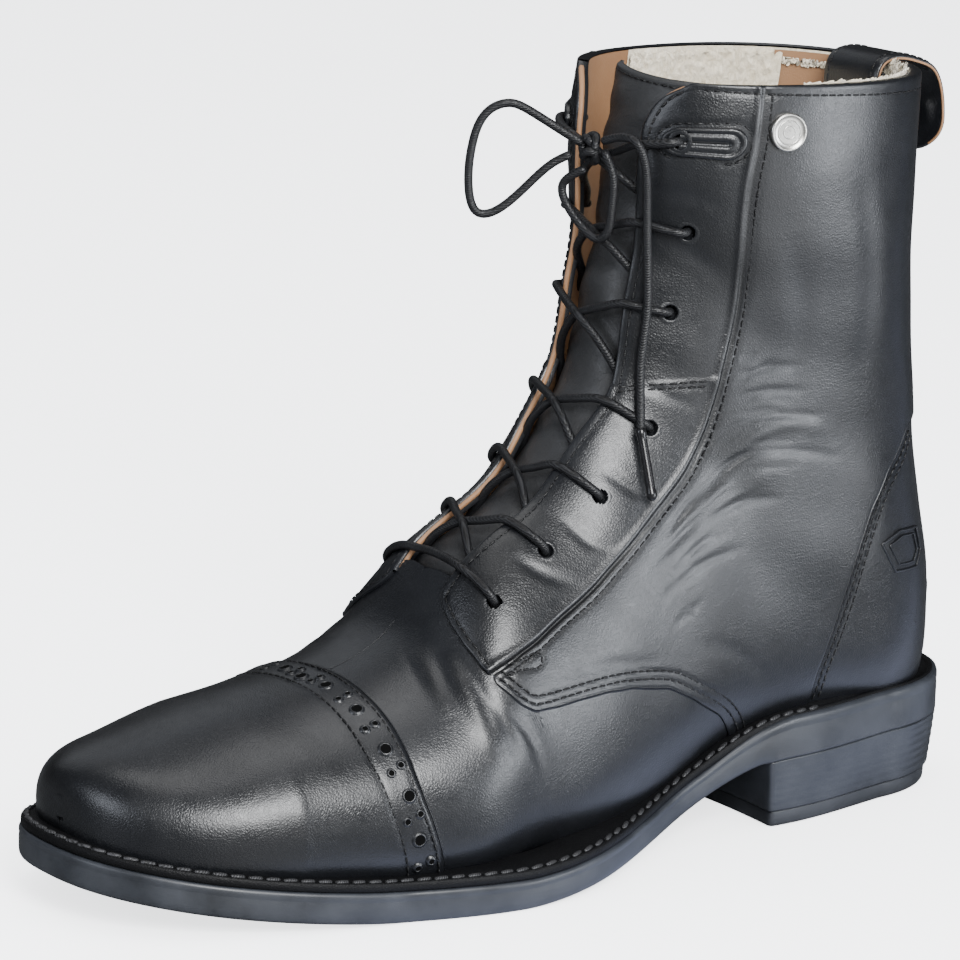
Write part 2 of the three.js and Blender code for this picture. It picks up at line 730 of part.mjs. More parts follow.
const capOutline = [
  ...seamLine(CAP_SEAM, 9), [1.1 * LENGTH, 0], [1.1 * LENGTH, 0.35 * SHAFT_HEIGHT],
];
const cap = form(GAP + CAP_THICK)
  .subtract(form(GAP))
  .intersect(prism(capOutline, -EDGE_OUT, EDGE_OUT))
  .subtract(ground);
add("toe_cap", shape(cap), BLACK);

// Tongue, from under the vamp to a little over the collar; it sinks and leans outwards as it rises

const tongueRise = (u) => clamp((u / COLLAR - 0.35) / 0.65, 0, 1.05);
const tongueSkin = (u) => -WALL - TONGUE_CLEAR - TONGUE_SINK * tongueRise(u) ** 1.3;
function tongueSpan(u) {
  const half = throatAt(Math.min(u, COLLAR * 0.95)) + TONGUE_MARGIN;
  const shift = TONGUE_SHIFT * tongueRise(u);
  return [shift - half, shift + half];
}
const tongue = strip(
  byRidge,
  COLLAR * 0.19,
  COLLAR + TONGUE_RISE,
  16,
  tongueSpan,
  6,
  (u) => tongueSkin(u) - TONGUE_THICK,
  tongueSkin,
);
add("tongue", shape(tongue), SATIN);

// Patches round the top eyelets, badge and spur rest on the outside of the upper

const top = EYELETS[EYELETS.length - 1];
for (const [name, side] of [["eyelet_patch_outer", 1], ["eyelet_patch_inner", -1]]) {
  const u = top.travel * COLLAR;
  const skin = PANEL_STEP + GAP;
  const front = skinPoint(u, top.off, side, 0);
  const behind = skinPoint(u, top.off + PATCH_LENGTH - PATCH_WIDTH, side, 0);
  const middle = skinPoint(u, top.off + (PATCH_LENGTH - PATCH_WIDTH) / 2, side, 0);
  const normal = skinNormal(u, top.off + (PATCH_LENGTH - PATCH_WIDTH) / 2, side, 0);
  const run = behind.clone().sub(front);
  run.addScaledVector(normal, -run.dot(normal));
  const reach = run.length() / 2;
  const radius = PATCH_WIDTH / 2;
  const oval = new THREE.Shape();
  oval.absarc(reach, 0, radius, -Math.PI / 2, Math.PI / 2);
  oval.absarc(-reach, 0, radius, Math.PI / 2, (3 * Math.PI) / 2);
  const post = new THREE.ExtrudeGeometry(oval, { depth: 16, curveSegments: 6, bevelEnabled: false });
  post.translate(0, 0, -8);
  const ahead = run.normalize();
  const across = new THREE.Vector3().crossVectors(normal, ahead);
  post.applyMatrix4(new THREE.Matrix4().makeBasis(ahead, across, normal).setPosition(middle));
  const patch = form(skin + PATCH_THICK, 12)
    .subtract(form(skin, 12))
    .intersect(solid(post))
    .subtract(disc(front, skinNormal(u, top.off, side, 0), EYELET_RADIUS, 20, 10));
  add(name, shape(patch), BLACK);
}

const badge = skinPoint(BADGE.travel * COLLAR, BADGE.off, 1, PANEL_STEP);
const badgeNormal = skinNormal(BADGE.travel * COLLAR, BADGE.off, 1, PANEL_STEP);
const badgeMiddle = badge.clone().addScaledVector(badgeNormal, GAP + BADGE_THICK / 2);
add(
  "side_badge",
  shape(disc(badgeMiddle, badgeNormal, BADGE_RADIUS, BADGE_THICK, 24)),
  leather(0xb9bab6, 0.35, 0.9),
);

const spurOutline = [
  [40, SPUR_LOW], [HEEL_BACK + 1.5, SPUR_LOW], [HEEL_BACK - SPUR_DEPTH, SPUR_LOW + 9],
  [HEEL_BACK - SPUR_DEPTH - 6, SPUR_HIGH], [40, SPUR_HIGH],
];
const spur = form(GAP + SPUR_DEPTH)
  .subtract(form(GAP))
  .intersect(prism(spurOutline, -SPUR_HALF, SPUR_HALF));
add("spur_rest", shape(spur), BLACK);

// Zip behind the slot: tape and closed chain in one, slider at its top, fold-over tab and its stud

const tapeSkin = -WALL - TAPE_CLEAR;
const upperZip = travelAt(SHAFT_HEIGHT - 5);
const tape = strip(
  byBack,
  travelAt(ZIP_FOOT - 4),
  upperZip,
  12,
  () => [-ZIP_TAPE / 2, ZIP_TAPE / 2],
  6,
  () => tapeSkin - TAPE_THICK,
  () => tapeSkin,
);
const chain = strip(
  byBack,
  travelAt(ZIP_FOOT + 2),
  upperZip,
  12,
  () => [-CHAIN_WIDTH / 2, CHAIN_WIDTH / 2],
  2,
  () => tapeSkin - TAPE_THICK / 2,
  () => -CHAIN_DEEP,
);
add("zip", shape(tape.add(chain)), leather(0x101011, 0.6));

function block(centre, ahead, out, size) {
  const across = new THREE.Vector3().crossVectors(out, ahead);
  const geometry = new THREE.BoxGeometry(...size);
  geometry.applyMatrix4(new THREE.Matrix4().makeBasis(ahead, across, out).setPosition(centre));
  return solid(geometry);
}

const sliderTravel = travelAt(SHAFT_HEIGHT - SLIDER_DROP);
const sliderFoot = byBack(sliderTravel, 0, PANEL_STEP + 2 * GAP);
const sliderAhead = byBack(sliderTravel + 4, 0, PANEL_STEP)
  .sub(byBack(sliderTravel - 4, 0, PANEL_STEP))
  .normalize();
const sliderOut = new THREE.Vector3(-sliderAhead.z, 0, sliderAhead.x);
const sliderAt = (down, out) =>
  sliderFoot.clone().addScaledVector(sliderAhead, -down).addScaledVector(sliderOut, out);
const slider = block(sliderAt(0, 1.3), sliderAhead, sliderOut, [SLIDER_LENGTH, SLIDER_WIDTH, 2.6])
  .add(block(sliderAt(0.4, 3), sliderAhead, sliderOut, [3.6, 2, 2]))
  .add(block(sliderAt(PULL_LENGTH / 2 - 0.4, 3.5), sliderAhead, sliderOut, [PULL_LENGTH, PULL_WIDTH, 1.2]));
add("zip_slider", shape(slider), leather(0x5a5b5e, 0.4, 0.9));

function ribbon(path, halfAt, thick) {
  const line = new THREE.SplineCurve(path.map(([x, z]) => new THREE.Vector2(x, z)));
  const steps = 26;
  const loops = [];
  for (let i = 0; i <= steps; i++) {
    const p = line.getPointAt(i / steps);
    const t = line.getTangentAt(i / steps);
    const inner = [p.x + t.y * thick, p.y - t.x * thick];
    const half = halfAt(i / steps, line.getLength());
    loops.push(
      [[p.x, -half, p.y], [p.x, half, p.y], [inner[0], half, inner[1]], [inner[0], -half, inner[1]]].map(
        (v) => new THREE.Vector3(...v),
      ),
    );
  }
  return loft(loops);
}

function tabHalf(share, length) {
  const left = Math.min((1 - share) * length, TAB_WIDTH / 2);
  const tip = Math.sqrt(Math.max((TAB_WIDTH / 2) ** 2 - (TAB_WIDTH / 2 - left) ** 2, 1.5));
  return Math.min(tip, TAB_WIDTH / 2);
}
add(
  "back_tab",
  ribbon(TAB_PATH.map((r) => [r.x * LENGTH, r.z * SHAFT_HEIGHT]), tabHalf, -TAB_THICK),
  BLACK,
);
const studPoint = new THREE.Vector3(STUD_AT[0] * LENGTH, 0, STUD_AT[1] * SHAFT_HEIGHT);
add(
  "tab_stud",
  shape(disc(studPoint, new THREE.Vector3(1, 0, 0), STUD_RADIUS, STUD_THICK, 16)),
  leather(0x8f9092, 0.35, 0.9),
);

// Laces: a straight bar at the lowest eyelets and a crossing between each pair and the next

const laceSkin = PANEL_STEP + GAP + LACE_RADIUS + 0.1;
const eyelets = EYELETS.map((e) => ({ u: e.travel * COLLAR, off: e.off }));

// Over the facing from an eyelet to its edge, on one side, lifted over a patch
function overFacing(e, edgeTravel, side, lift) {
  const edge = throatAt(edgeTravel);
  const end = e.off - EYELET_RADIUS - LACE_RADIUS - 0.6;
  return [
    byRidge(e.u, side * end, laceSkin + lift),
    byRidge(e.u + (edgeTravel - e.u) * 0.5, side * ((end + edge) / 2), laceSkin + 0.2 + lift),
    byRidge(edgeTravel, side * (edge - 0.4), laceSkin - 0.2 + lift * 0.5),
  ];
}

const bar = eyelets[0];
const barTravel = bar.u - 1;
const barPoints = [
  ...overFacing(bar, barTravel, 1, 0),
  byRidge(barTravel, 5, laceSkin - 0.9),
  byRidge(barTravel, -5, laceSkin - 0.9),
  ...overFacing(bar, barTravel, -1, 0).reverse(),
];
add("lace_bar", cord(barPoints, LACE_RADIUS, 6.3), SATIN);

for (let i = 0; i + 1 < eyelets.length; i++) {
  const from = eyelets[i];
  const to = eyelets[i + 1];
  const low = from.u + (to.u - from.u) * 0.22;
  const middle = from.u + (to.u - from.u) * 0.52;
  const high = from.u + (to.u - from.u) * 0.82;
  const lift = i + 2 < eyelets.length ? 0 : PATCH_THICK + GAP;
  const pair = [1, -1].map((side) =>
    solid(
      cord(
        [
          byRidge(low, side * (throatAt(low) - LACE_RADIUS - 1.2), -0.6),
          byRidge((low + middle) / 2, side * throatAt(low) * 0.42, 0),
          byRidge(middle, 0, 0.5),
          byRidge((middle + high) / 2, -side * throatAt(high) * 0.55, laceSkin - 0.9),
          ...overFacing(to, high, -side, lift).reverse(),
        ],
        LACE_RADIUS,
        6.3,
      ),
    ),
  );
  add("lace_crossing_" + (i + 1), shape(pair[0].add(pair[1])), SATIN);
}

// Bow: knot, front loop, falling loop, hanging end with its tip

const knot = new THREE.SphereGeometry(1, 10, 6);
knot.scale(3, 4, 4.9);
knot.translate(...KNOT);
add("lace_knot", shape(solid(knot)), SATIN);
add("lace_loop_front", cord(LOOP_FRONT, LACE_RADIUS, 5.6), SATIN);
add("lace_loop_fall", cord(LOOP_FALL, LACE_RADIUS, 5.6), SATIN);
add("lace_end", cord(END_FALL, LACE_RADIUS, 6), SATIN);
const aglet = AGLET.map((p) => new THREE.Vector3(...p));
const agletRun = aglet[1].clone().sub(aglet[0]);
add(
  "lace_aglet",
  shape(
    disc(
      aglet[0].clone().addScaledVector(agletRun, 0.5),
      agletRun.clone().normalize(),
      LACE_RADIUS,
      agletRun.length(),
      LACE_SIDES,
    ),
  ),
  leather(0x2a2b2d, 0.3),
);

root.position.x = -HEEL_CENTRE;

export default root;
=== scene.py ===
"""Looks of the paddock boot: panels, seams, creases, laces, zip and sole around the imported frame."""
import math

import bpy
import numpy as np
from mathutils import Matrix, Vector


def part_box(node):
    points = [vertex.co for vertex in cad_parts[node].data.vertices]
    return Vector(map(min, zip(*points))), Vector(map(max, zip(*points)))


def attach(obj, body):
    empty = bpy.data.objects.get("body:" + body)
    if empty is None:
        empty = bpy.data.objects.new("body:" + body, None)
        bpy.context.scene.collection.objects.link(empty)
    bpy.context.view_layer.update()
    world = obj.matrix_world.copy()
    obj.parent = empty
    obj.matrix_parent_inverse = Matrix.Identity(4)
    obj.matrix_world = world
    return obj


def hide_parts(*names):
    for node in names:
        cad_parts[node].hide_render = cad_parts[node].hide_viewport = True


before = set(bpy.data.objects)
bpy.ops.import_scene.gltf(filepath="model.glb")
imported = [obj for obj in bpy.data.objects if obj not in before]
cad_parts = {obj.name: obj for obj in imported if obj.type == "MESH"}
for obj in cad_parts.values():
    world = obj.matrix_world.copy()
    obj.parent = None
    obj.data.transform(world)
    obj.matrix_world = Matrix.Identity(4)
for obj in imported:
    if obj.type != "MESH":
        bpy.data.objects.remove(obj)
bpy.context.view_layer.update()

# Sizes in millimetres, x from the heel's back as in the frame's source
LENGTH = 288.0
BALL_WIDTH = 100.0
SHAFT_HEIGHT = 210.0
HEEL_HEIGHT = 20.4
HEEL_CENTRE = 43.0
HEEL_LENGTH = 82.6
LIFT_HEIGHT = 4.8
HEEL_INSET = 0.9
HEEL_TAPER = 1.8
WALL = 2.4
TUCK = 6.0
NOSE_HEIGHT = 11.0
LACE_RADIUS = 1.18
ZIP_FOOT = 72.0
ZIP_SLOT = 6.4
TONGUE_SINK = 5.0
TONGUE_SHIFT = 8.0
TONGUE_MARGIN = 9.0
MM = 0.001

# Heights of the panels over the form
VAMP_LIFT = 0.1
QUARTER_LIFT = 0.8
FACING_LIFT = 0.9
FLAP_LIFT = 1.35
CAP_LIFT = 1.2
BEAD = 0.55

# Distances on the surface
QUARTER_FRONT = 61.5
FAR = 999
HOLE_CLEAR = 2.3
PATCH_REACH = 12.0
PATCH_SLOPE = 0.34
PITCH = 2.6
WELT_THIN = 2.6
TAB_HALF = 11
TAB_ROW = 8.8
WELD = 0.004

SOLE_WIDTH = [(0.12, 0.313), (0.25, 0.335), (0.4, 0.295), (0.52, 0.4), (0.64, 0.502), (0.74, 0.468)]
SOLE_CURVE = [(0, 0.01), (0.12, 0), (0.25, 0.023), (0.4, 0.058), (0.52, 0.09),
              (0.64, 0.021), (0.76, -0.032), (0.88, -0.092), (1, -0.133)]
SOLE_RISE = [(0, 1.05), (0.1, 1.035), (0.19, 1.02), (0.255, 1.01), (0.285, 0.985), (0.315, 0.885),
             (0.35, 0.711), (0.42, 0.353), (0.5, 0.157), (0.58, 0.037), (0.635, -0.01), (0.73, -0.01),
             (0.8, 0.078), (0.9, 0.26), (1, 0.505)]
# Share of the length, height of the sole's side, height of the welt
EDGE = [(0, 7.7, 4.6), (0.26, 7.8, 4.6), (0.36, 7.8, 2.6), (0.5, 7.8, 2.6), (0.75, 8.6, 2.6), (1, 8.6, 2.6)]
HEEL_ROUND = 0.12
TOE_START = 0.74
TOE_POWER = 2.4
# back x, back z, ridge x, ridge z, half width, widest, power below, power above, lean
SECTIONS = [
    (0.8264, None, 0.8264, 0.2321, 0.412, 0.40, 2.9, 2.2, -0.07),
    (0.7431, None, 0.7431, 0.2573, 0.43, 0.38, 2.9, 2.2, -0.035),
    (0.6528, None, 0.6563, 0.3088, 0.452, 0.37, 2.9, 2.2, -0.01),
    (0.5556, None, 0.609, 0.4066, 0.375, 0.36, 2.8, 2.2, 0.015),
    (0.4444, None, 0.5346, 0.476, 0.343, 0.37, 2.7, 2.2, 0.02),
    (0.3194, None, 0.4844, 0.5548, 0.335, 0.40, 2.8, 2.2, 0.01),
    (0.1806, None, 0.4527, 0.6256, 0.34, 0.42, 3.2, 2.2, 0),
    (0.053, 0.1143, 0.4433, 0.6937, 0.353, 0.43, 2.9, 2.2, 0),
    (0.0315, 0.2381, 0.4392, 0.7381, 0.35, 0.44, 2.65, 2.2, 0),
    (0.0401, 0.381, 0.4305, 0.7905, 0.35, 0.45, 2.2, 2.2, 0),
    (0.062, 0.5238, 0.4268, 0.8429, 0.37, 0.46, 2.2, 2.2, 0),
    (0.0778, 0.6667, 0.4259, 0.8952, 0.398, 0.46, 2.2, 2.2, 0),
    (0.086, 0.819, 0.4219, 0.9476, 0.413, 0.46, 2.2, 2.2, 0),
    (0.0852, 0.99, 0.4143, 0.9995, 0.413, 0.46, 2.2, 2.2, 0),
]
TOE_RIDGE = [(0.6563, 0.3088), (0.7431, 0.2573), (0.8264, 0.2321), (0.9097, 0.2005), (0.9757, 0.1914)]
TIP = 0.981
NOSE = 0.912
NOSE_POWER = 2.8
UNDER = 0.896
UNDER_POWER = 3.0

# Seams on the surface: travel along the sections and distance from the ridge
THROAT_EDGE = [(66, 11.3), (76, 11.3), (99, 11.9), (119, 11.4), (133, 12.4), (148, 14.1), (166, 15.6),
               (187, 14.9), (224, 14.5), (254, 14.1), (277, 14.2), (293, 14.7), (304.5, 17.1),
               (311.5, 21), (316.4, 27)]
FLAP_FRONT = [(11.3, 69), (12.3, 66.6), (14.4, 64.5), (19.2, 62.5), (26.4, 61.5), (34.4, 62.4), (37, 63.4)]
FLAP_TOP = [(14, 164.5), (15.9, 166.6), (23.1, 176.5), (33.6, 189.4), (40, 197), (48, 206)]
BIG_SEAM = [(61.5, 36.6), (72.4, 39.5), (83.3, 40.8), (94.2, 39.9), (104.1, 39.6), (116, 39.8), (128.9, 41.4),
            (143.8, 42.8), (155.7, 44), (169.6, 45.6), (184.5, 47.3), (198.4, 48), (226.1, 47.2), (246, 46.2),
            (265.8, 45.5), (279.7, 45.3), (294.6, 45.7), (316.4, 44.6)]
WING = [(61.5, 36.7), (64.5, 40.8), (70.4, 49.9), (75.4, 55), (84.3, 58.9), (92.2, 61.4), (101.2, 64.7),
        (110.1, 69.7), (122, 80.1), (127.9, 89.2), (135.9, 104.7), (139.8, 125.2)]
HEEL_SEAM = [(159.7, 139.4), (160.7, 130.3), (165.6, 124.8), (174.6, 121.3), (187.5, 118.6), (198.4, 116.7),
             (210.3, 116.1), (223.2, 118.4), (233.1, 123.1), (241, 126.7), (247, 136), (251, 150)]
CAP_EDGE = [(0, 31.2), (8, 31), (19, 30.7), (38.8, 30.7), (46.8, 31), (53.6, 32), (62.5, 34.6),
            (71.3, 37.2), (79.1, 39.8), (95, 44)]
CAP_LINE = [(0, 21), (18.2, 20.8), (37.9, 20.8), (44.4, 21.6), (51.6, 22.8), (58.4, 24.6), (67.6, 27),
            (76.5, 29.8), (95, 34)]
EYELETS = [(77.4, 25.9), (100.2, 24.2), (127.9, 26.5), (163.7, 29.9), (214.2, 28), (250.9, 29.2), (288.6, 25.5)]
BADGE = (301.5, 53.3)

# Free lace: points of the bow and of the hanging end, as in the frame's source
KNOT = (127.4, 2.6, 190.5)
LOOP_FRONT = [
    (130.1, 0.1, 192.2), (133.6, -3.6, 195), (140.3, -9.2, 200.1), (144.3, -12, 201.9), (148, -14.6, 200.7),
    (150.8, -16.5, 197.1), (152.6, -17.6, 190.6), (153.2, -18.1, 180.5), (151.3, -16.9, 172.4),
    (147.7, -14.4, 172.2), (141.4, -10, 178.2), (135.4, -5.6, 185.4), (131.6, -2.6, 188.2),
]
LOOP_FALL = [
    (129.6, 1.2, 184.6), (131.6, -1.6, 182.6), (132.5, -3.6, 179.8), (132.1, -2.7, 175.8), (130.8, 0.7, 171.3),
    (129.5, 4.4, 168), (128.3, 7.7, 166.8), (127.4, 10.2, 169.3), (127.2, 11.4, 176.2), (127.1, 11.4, 184),
    (127.6, 8.2, 190),
]
END_FALL = [
    (127.5, 7.8, 193.4), (125.8, 12.4, 194.8), (124.8, 17.4, 194.2), (123.4, 19.9, 189.2), (122, 19.9, 175.8),
    (121.6, 20.5, 161.2), (122.2, 21.7, 148), (123.9, 22.1, 136.2), (125, 23.7, 126.2), (126.5, 26.2, 117.9),
]
AGLET = [(126.6, 26.4, 117.5), (126.9, 32.4, 101)]


# Curves and lines

def spline(xs, ys):
    """Natural cubic spline, straight past its ends."""
    xs, ys = np.asarray(xs, float), np.asarray(ys, float)
    n, h = len(xs), np.diff(xs)
    matrix, right = np.zeros((n, n)), np.zeros(n)
    matrix[0, 0] = matrix[-1, -1] = 1
    for i in range(1, n - 1):
        matrix[i, i - 1:i + 2] = h[i - 1], 2 * (h[i - 1] + h[i]), h[i]
        right[i] = 6 * ((ys[i + 1] - ys[i]) / h[i] - (ys[i] - ys[i - 1]) / h[i - 1])
    bend = np.linalg.solve(matrix, right)

    def value(x):
        x = np.asarray(x, float)
        inside = np.clip(x, xs[0], xs[-1])
        k = np.clip(np.searchsorted(xs, x, side="right") - 1, 0, n - 2)
        a, b = (xs[k + 1] - inside) / h[k], (inside - xs[k]) / h[k]
        y = a * ys[k] + b * ys[k + 1] + ((a**3 - a) * bend[k] + (b**3 - b) * bend[k + 1]) * h[k]**2 / 6
        first = (ys[1] - ys[0]) / h[0] - h[0] * bend[1] / 6
        last = (ys[-1] - ys[-2]) / h[-1] + h[-1] * bend[-2] / 6
        return y + np.where(x < xs[0], (x - xs[0]) * first, 0) + np.where(x > xs[-1], (x - xs[-1]) * last, 0)

    return value


def line(table):
    """Straight interpolation in a table, rounded a little by a fine average."""
    xs, ys = np.array(table, float).T
    reach = (xs[-1] - xs[0]) * 0.012

    def at(x):
        return sum(np.interp(np.asarray(x, float) + d * reach, xs, ys) for d in (-1, -0.5, 0, 0.5, 1)) / 5

    return at


def smooth(x):
    x = np.clip(x, 0, 1)
    return x * x * (3 - 2 * x)


def unit(v):
    return v / (np.linalg.norm(v, axis=-1, keepdims=True) + 1e-12)


def run_along(points):
    """Distance travelled at each point of a path."""
    return np.concatenate([[0], np.cumsum(np.linalg.norm(np.diff(points, axis=0), axis=1))])


def sampled(at, run, points):
    """Places on a path at the given distances along it."""
    return np.stack([np.interp(at, run, axis) for axis in points.T], -1)


def curve(points, step):
    """Points every step millimetres along a smooth line through the given ones."""
    p = np.asarray(points, float)
    knots = np.concatenate([[0], np.cumsum(np.sqrt(np.linalg.norm(np.diff(p, axis=0), axis=1)))])
    parts = [spline(knots, p[:, i]) for i in range(p.shape[1])]
    t = np.linspace(0, knots[-1], 40 * len(p))
    fine = np.stack([f(t) for f in parts], -1)
    run = run_along(fine)
    return sampled(np.linspace(0, run[-1], max(2, int(round(run[-1] / step)) + 1)), run, fine)


width_at, curve_at, rise_at = (spline(*zip(*table)) for table in (SOLE_WIDTH, SOLE_CURVE, SOLE_RISE))


def share(x):
    return np.clip(np.asarray(x, float) / LENGTH, 0, 1)


def sole_half(x):
    s = share(x)
    heel = np.clip((HEEL_ROUND - s) / HEEL_ROUND, 0, 1)
    toe = np.clip((s - TOE_START) / (1 - TOE_START), 0, 1)
    middle = BALL_WIDTH * width_at(np.clip(s, HEEL_ROUND, TOE_START))
    return middle * np.sqrt(1 - heel**2) * (1 - toe**TOE_POWER) ** (1 / TOE_POWER)


def sole_centre(x):
    return BALL_WIDTH * curve_at(share(x))


def sole_bottom(x):
    return HEEL_HEIGHT * np.maximum(rise_at(share(x)), 0)


def sole_top(x):
    return sole_bottom(x) + np.interp(share(x), *np.array(EDGE).T[[0, 1]])


def welt_thick(x):
    return np.interp(share(x), *np.array(EDGE).T[[0, 2]])


def welt_top(x):
    return sole_top(x) + welt_thick(x)


# Form of the upper, sampled on a fine table: rows of travel, columns of the half section's arc

def section_rows():
    rows = []
    for bx, bz, tx, tz, half, widest, low, high, lean in SECTIONS:
        x = bx * LENGTH
        z = float(sole_top(x)) - TUCK if bz is None else bz * SHAFT_HEIGHT
        rows.append((x, z, tx * LENGTH, tz * SHAFT_HEIGHT, half * BALL_WIDTH, widest, low, high, lean * BALL_WIDTH))
    return np.array(rows)


ROWS = section_rows()
back_steps = np.hypot(*np.diff(ROWS[:, 0:2], axis=0).T)
ridge_steps = np.hypot(*np.diff(ROWS[:, 2:4], axis=0).T)
TRAVEL = np.concatenate([[0], np.cumsum((back_steps + ridge_steps) / 2)])
COLLAR = TRAVEL[-1]
COLUMNS = [spline(TRAVEL, ROWS[:, i]) for i in range(9)]
toe_ridge = spline([x * LENGTH for x, _ in TOE_RIDGE], [z * SHAFT_HEIGHT for _, z in TOE_RIDGE])
TOE_BACK = ROWS[0, 0]
TOE_DEPTH = TIP * LENGTH - TOE_BACK


def section(u):
    """Back or sole point, ridge point, half width, shape and sideways places of a section."""
    if u >= 0:
        bx, bz, tx, tz, half, widest, low, high, lean = (float(c(u)) for c in COLUMNS)
        x = max(bx, 0)
        centre = float(sole_centre(x)) * min(max(1 - (bz - float(sole_top(x))) / 60, 0), 1)
        return bx, bz, tx, tz, half, widest, low, high, centre, lean
    x = TOE_BACK + TOE_DEPTH * math.sin(min(-u / TOE_DEPTH, 0.9998) * math.pi / 2)
    tip = TOE_BACK + TOE_DEPTH
    middle = float(sole_top(x)) + NOSE_HEIGHT
    over = max((x - NOSE * LENGTH) / (tip - NOSE * LENGTH), 0)
    under = max((x - UNDER * LENGTH) / (tip - UNDER * LENGTH), 0)
    round_off = (x - TOE_START * LENGTH) / (tip - TOE_START * LENGTH)
    ridge = middle + (float(toe_ridge(x)) - middle) * (1 - over**NOSE_POWER) ** (1 / NOSE_POWER)
    bottom = middle - (NOSE_HEIGHT + TUCK) * (1 - under**UNDER_POWER) ** (1 / UNDER_POWER)
    half = ROWS[1, 4] * (1 - round_off**TOE_POWER) ** (1 / TOE_POWER)
    centre = float(sole_centre(x))
    lean = ROWS[0, 8] + centre - float(sole_centre(TOE_BACK))
    return x, bottom, x, ridge, half, ROWS[0, 5], ROWS[0, 6], ROWS[0, 7], centre, lean


ARCS = 240
FLARE = 3.2
TABLE_U = np.concatenate([-TOE_DEPTH * np.linspace(1, 0, 150), np.linspace(0, COLLAR + 12, 620)[1:]])


def half_arc(u):
    """Share up the plane, width and arc of a half section, evenly by arc from the ridge."""
    s = section(u)
    widest, low, high = s[5:8]
    phi = np.linspace(0, np.pi / 2, 120)
    up = widest + (1 - widest) * np.cos(phi) ** (2 / high)
    down = widest - widest * np.sin(phi) ** (2 / low)
    t = np.concatenate([up, down[1:]])
    w = np.concatenate([np.sin(phi) ** (2 / high), (np.cos(phi) ** (2 / low))[1:]]) * s[4]
    height = math.hypot(s[2] - s[0], s[3] - s[1])
    run = np.concatenate([[0], np.cumsum(np.hypot(np.diff(t) * height, np.diff(w)))])
    even = np.linspace(0, run[-1], ARCS + 1)
    return s, np.interp(even, run, t), np.interp(even, run, w), run[-1]


def sample_form():
    points = {1: [], -1: []}
    arcs = []
    for u in TABLE_U:
        s, t, w, total = half_arc(u)
        t = np.concatenate([t[1:2], t, t[-2:-1]])
        flare = FLARE * float(smooth((u - 15) / 30) * (1 - smooth((u - 100) / 45)))
        w = w + flare * smooth((np.linspace(0, 1, ARCS + 1) - 0.7) / 0.24)
        w = np.concatenate([-w[1:2], w, -w[-2:-1]])
        middle = s[8] + (s[9] - s[8]) * t
        for side in points:
            points[side].append(np.stack([s[0] + (s[2] - s[0]) * t, middle + side * w, s[1] + (s[3] - s[1]) * t], -1))
        arcs.append(total)
    grids = {}
    for side, rows in points.items():
        p = np.array(rows)
        along = np.gradient(p, TABLE_U, axis=0)
        across = np.gradient(p, axis=1)
        n = np.cross(across, along) * side
        n[0] = n[1]
        grids[side] = (p[:, 1:-1], unit(n)[:, 1:-1])
    return grids, np.array(arcs)


GRIDS, ARC_LENGTHS = sample_form()


def full_arc(u):
    return np.interp(u, TABLE_U, ARC_LENGTHS)


def on_form(u, off, side):
    """Points and outward normals of the form; off is millimetres from the ridge, below 0 on the other side."""
    u, off = np.broadcast_arrays(np.asarray(u, float), np.asarray(off, float))
    row = np.interp(u, TABLE_U, np.arange(len(TABLE_U)))
    col = np.clip(np.abs(off) / full_arc(u), 0, 1) * ARCS
    i = np.clip(row.astype(int), 0, len(TABLE_U) - 2)
    j = np.clip(col.astype(int), 0, ARCS - 1)
    f, g = (row - i)[..., None], (col - j)[..., None]
    near_side = (off >= 0) == (side > 0)
    out = []
    for k in (0, 1):
        a, b = GRIDS[1][k], GRIDS[-1][k]
        pick = lambda m, n: np.where(near_side[..., None], a[m, n], b[m, n])
        v = (pick(i, j) * (1 - f) * (1 - g) + pick(i + 1, j) * f * (1 - g)
             + pick(i, j + 1) * (1 - f) * g + pick(i + 1, j + 1) * f * g)
        out.append(v)
    return out[0], unit(out[1])


def over_form(u, off, side, skin):
    """Points at a height over the form."""
    p, n = on_form(u, off, side)
    return p + n * np.asarray(skin, float)[..., None]


def welt_arc(u):
    """Distance from the ridge to just under the welt's top, or the whole half section higher up."""
    offs = np.linspace(0, 1, 400)
    out = []
    for one in np.atleast_1d(u):
        total = full_arc(one)
        p, _ = on_form(np.full(400, one), offs * total, 1)
        under = np.nonzero(p[:, 2] < welt_top(p[:, 0]) - 0.6)[0]
        out.append(offs[under[0]] * total if len(under) else total)
    return np.array(out)


WELT_U = np.linspace(-TOE_DEPTH, COLLAR + 12, 260)
WELT_ARCS = welt_arc(WELT_U)


def foot(u):
    return np.interp(u, WELT_U, WELT_ARCS)


def spread(rows, start, end, count):
    """Surface places on rows of travel, from one distance from the ridge to another."""
    start, end = np.broadcast_arrays(start, end)
    off = start[:, None] + (end - start)[:, None] * np.linspace(0, 1, count)[None]
    return np.broadcast_to(rows[:, None], off.shape), off


throat_at, flap_front_at, flap_top_at, big_seam_at, cap_edge_at = (
    line(table) for table in (THROAT_EDGE, FLAP_FRONT, FLAP_TOP, BIG_SEAM, CAP_EDGE))


# Meshes

def add_object(name, data):
    piece = bpy.data.objects.new(name, data)
    bpy.context.scene.collection.objects.link(piece)
    return piece


def metres(points):
    p = np.array(points, float).reshape(-1, 3)
    p[:, 0] -= HEEL_CENTRE
    return p * MM


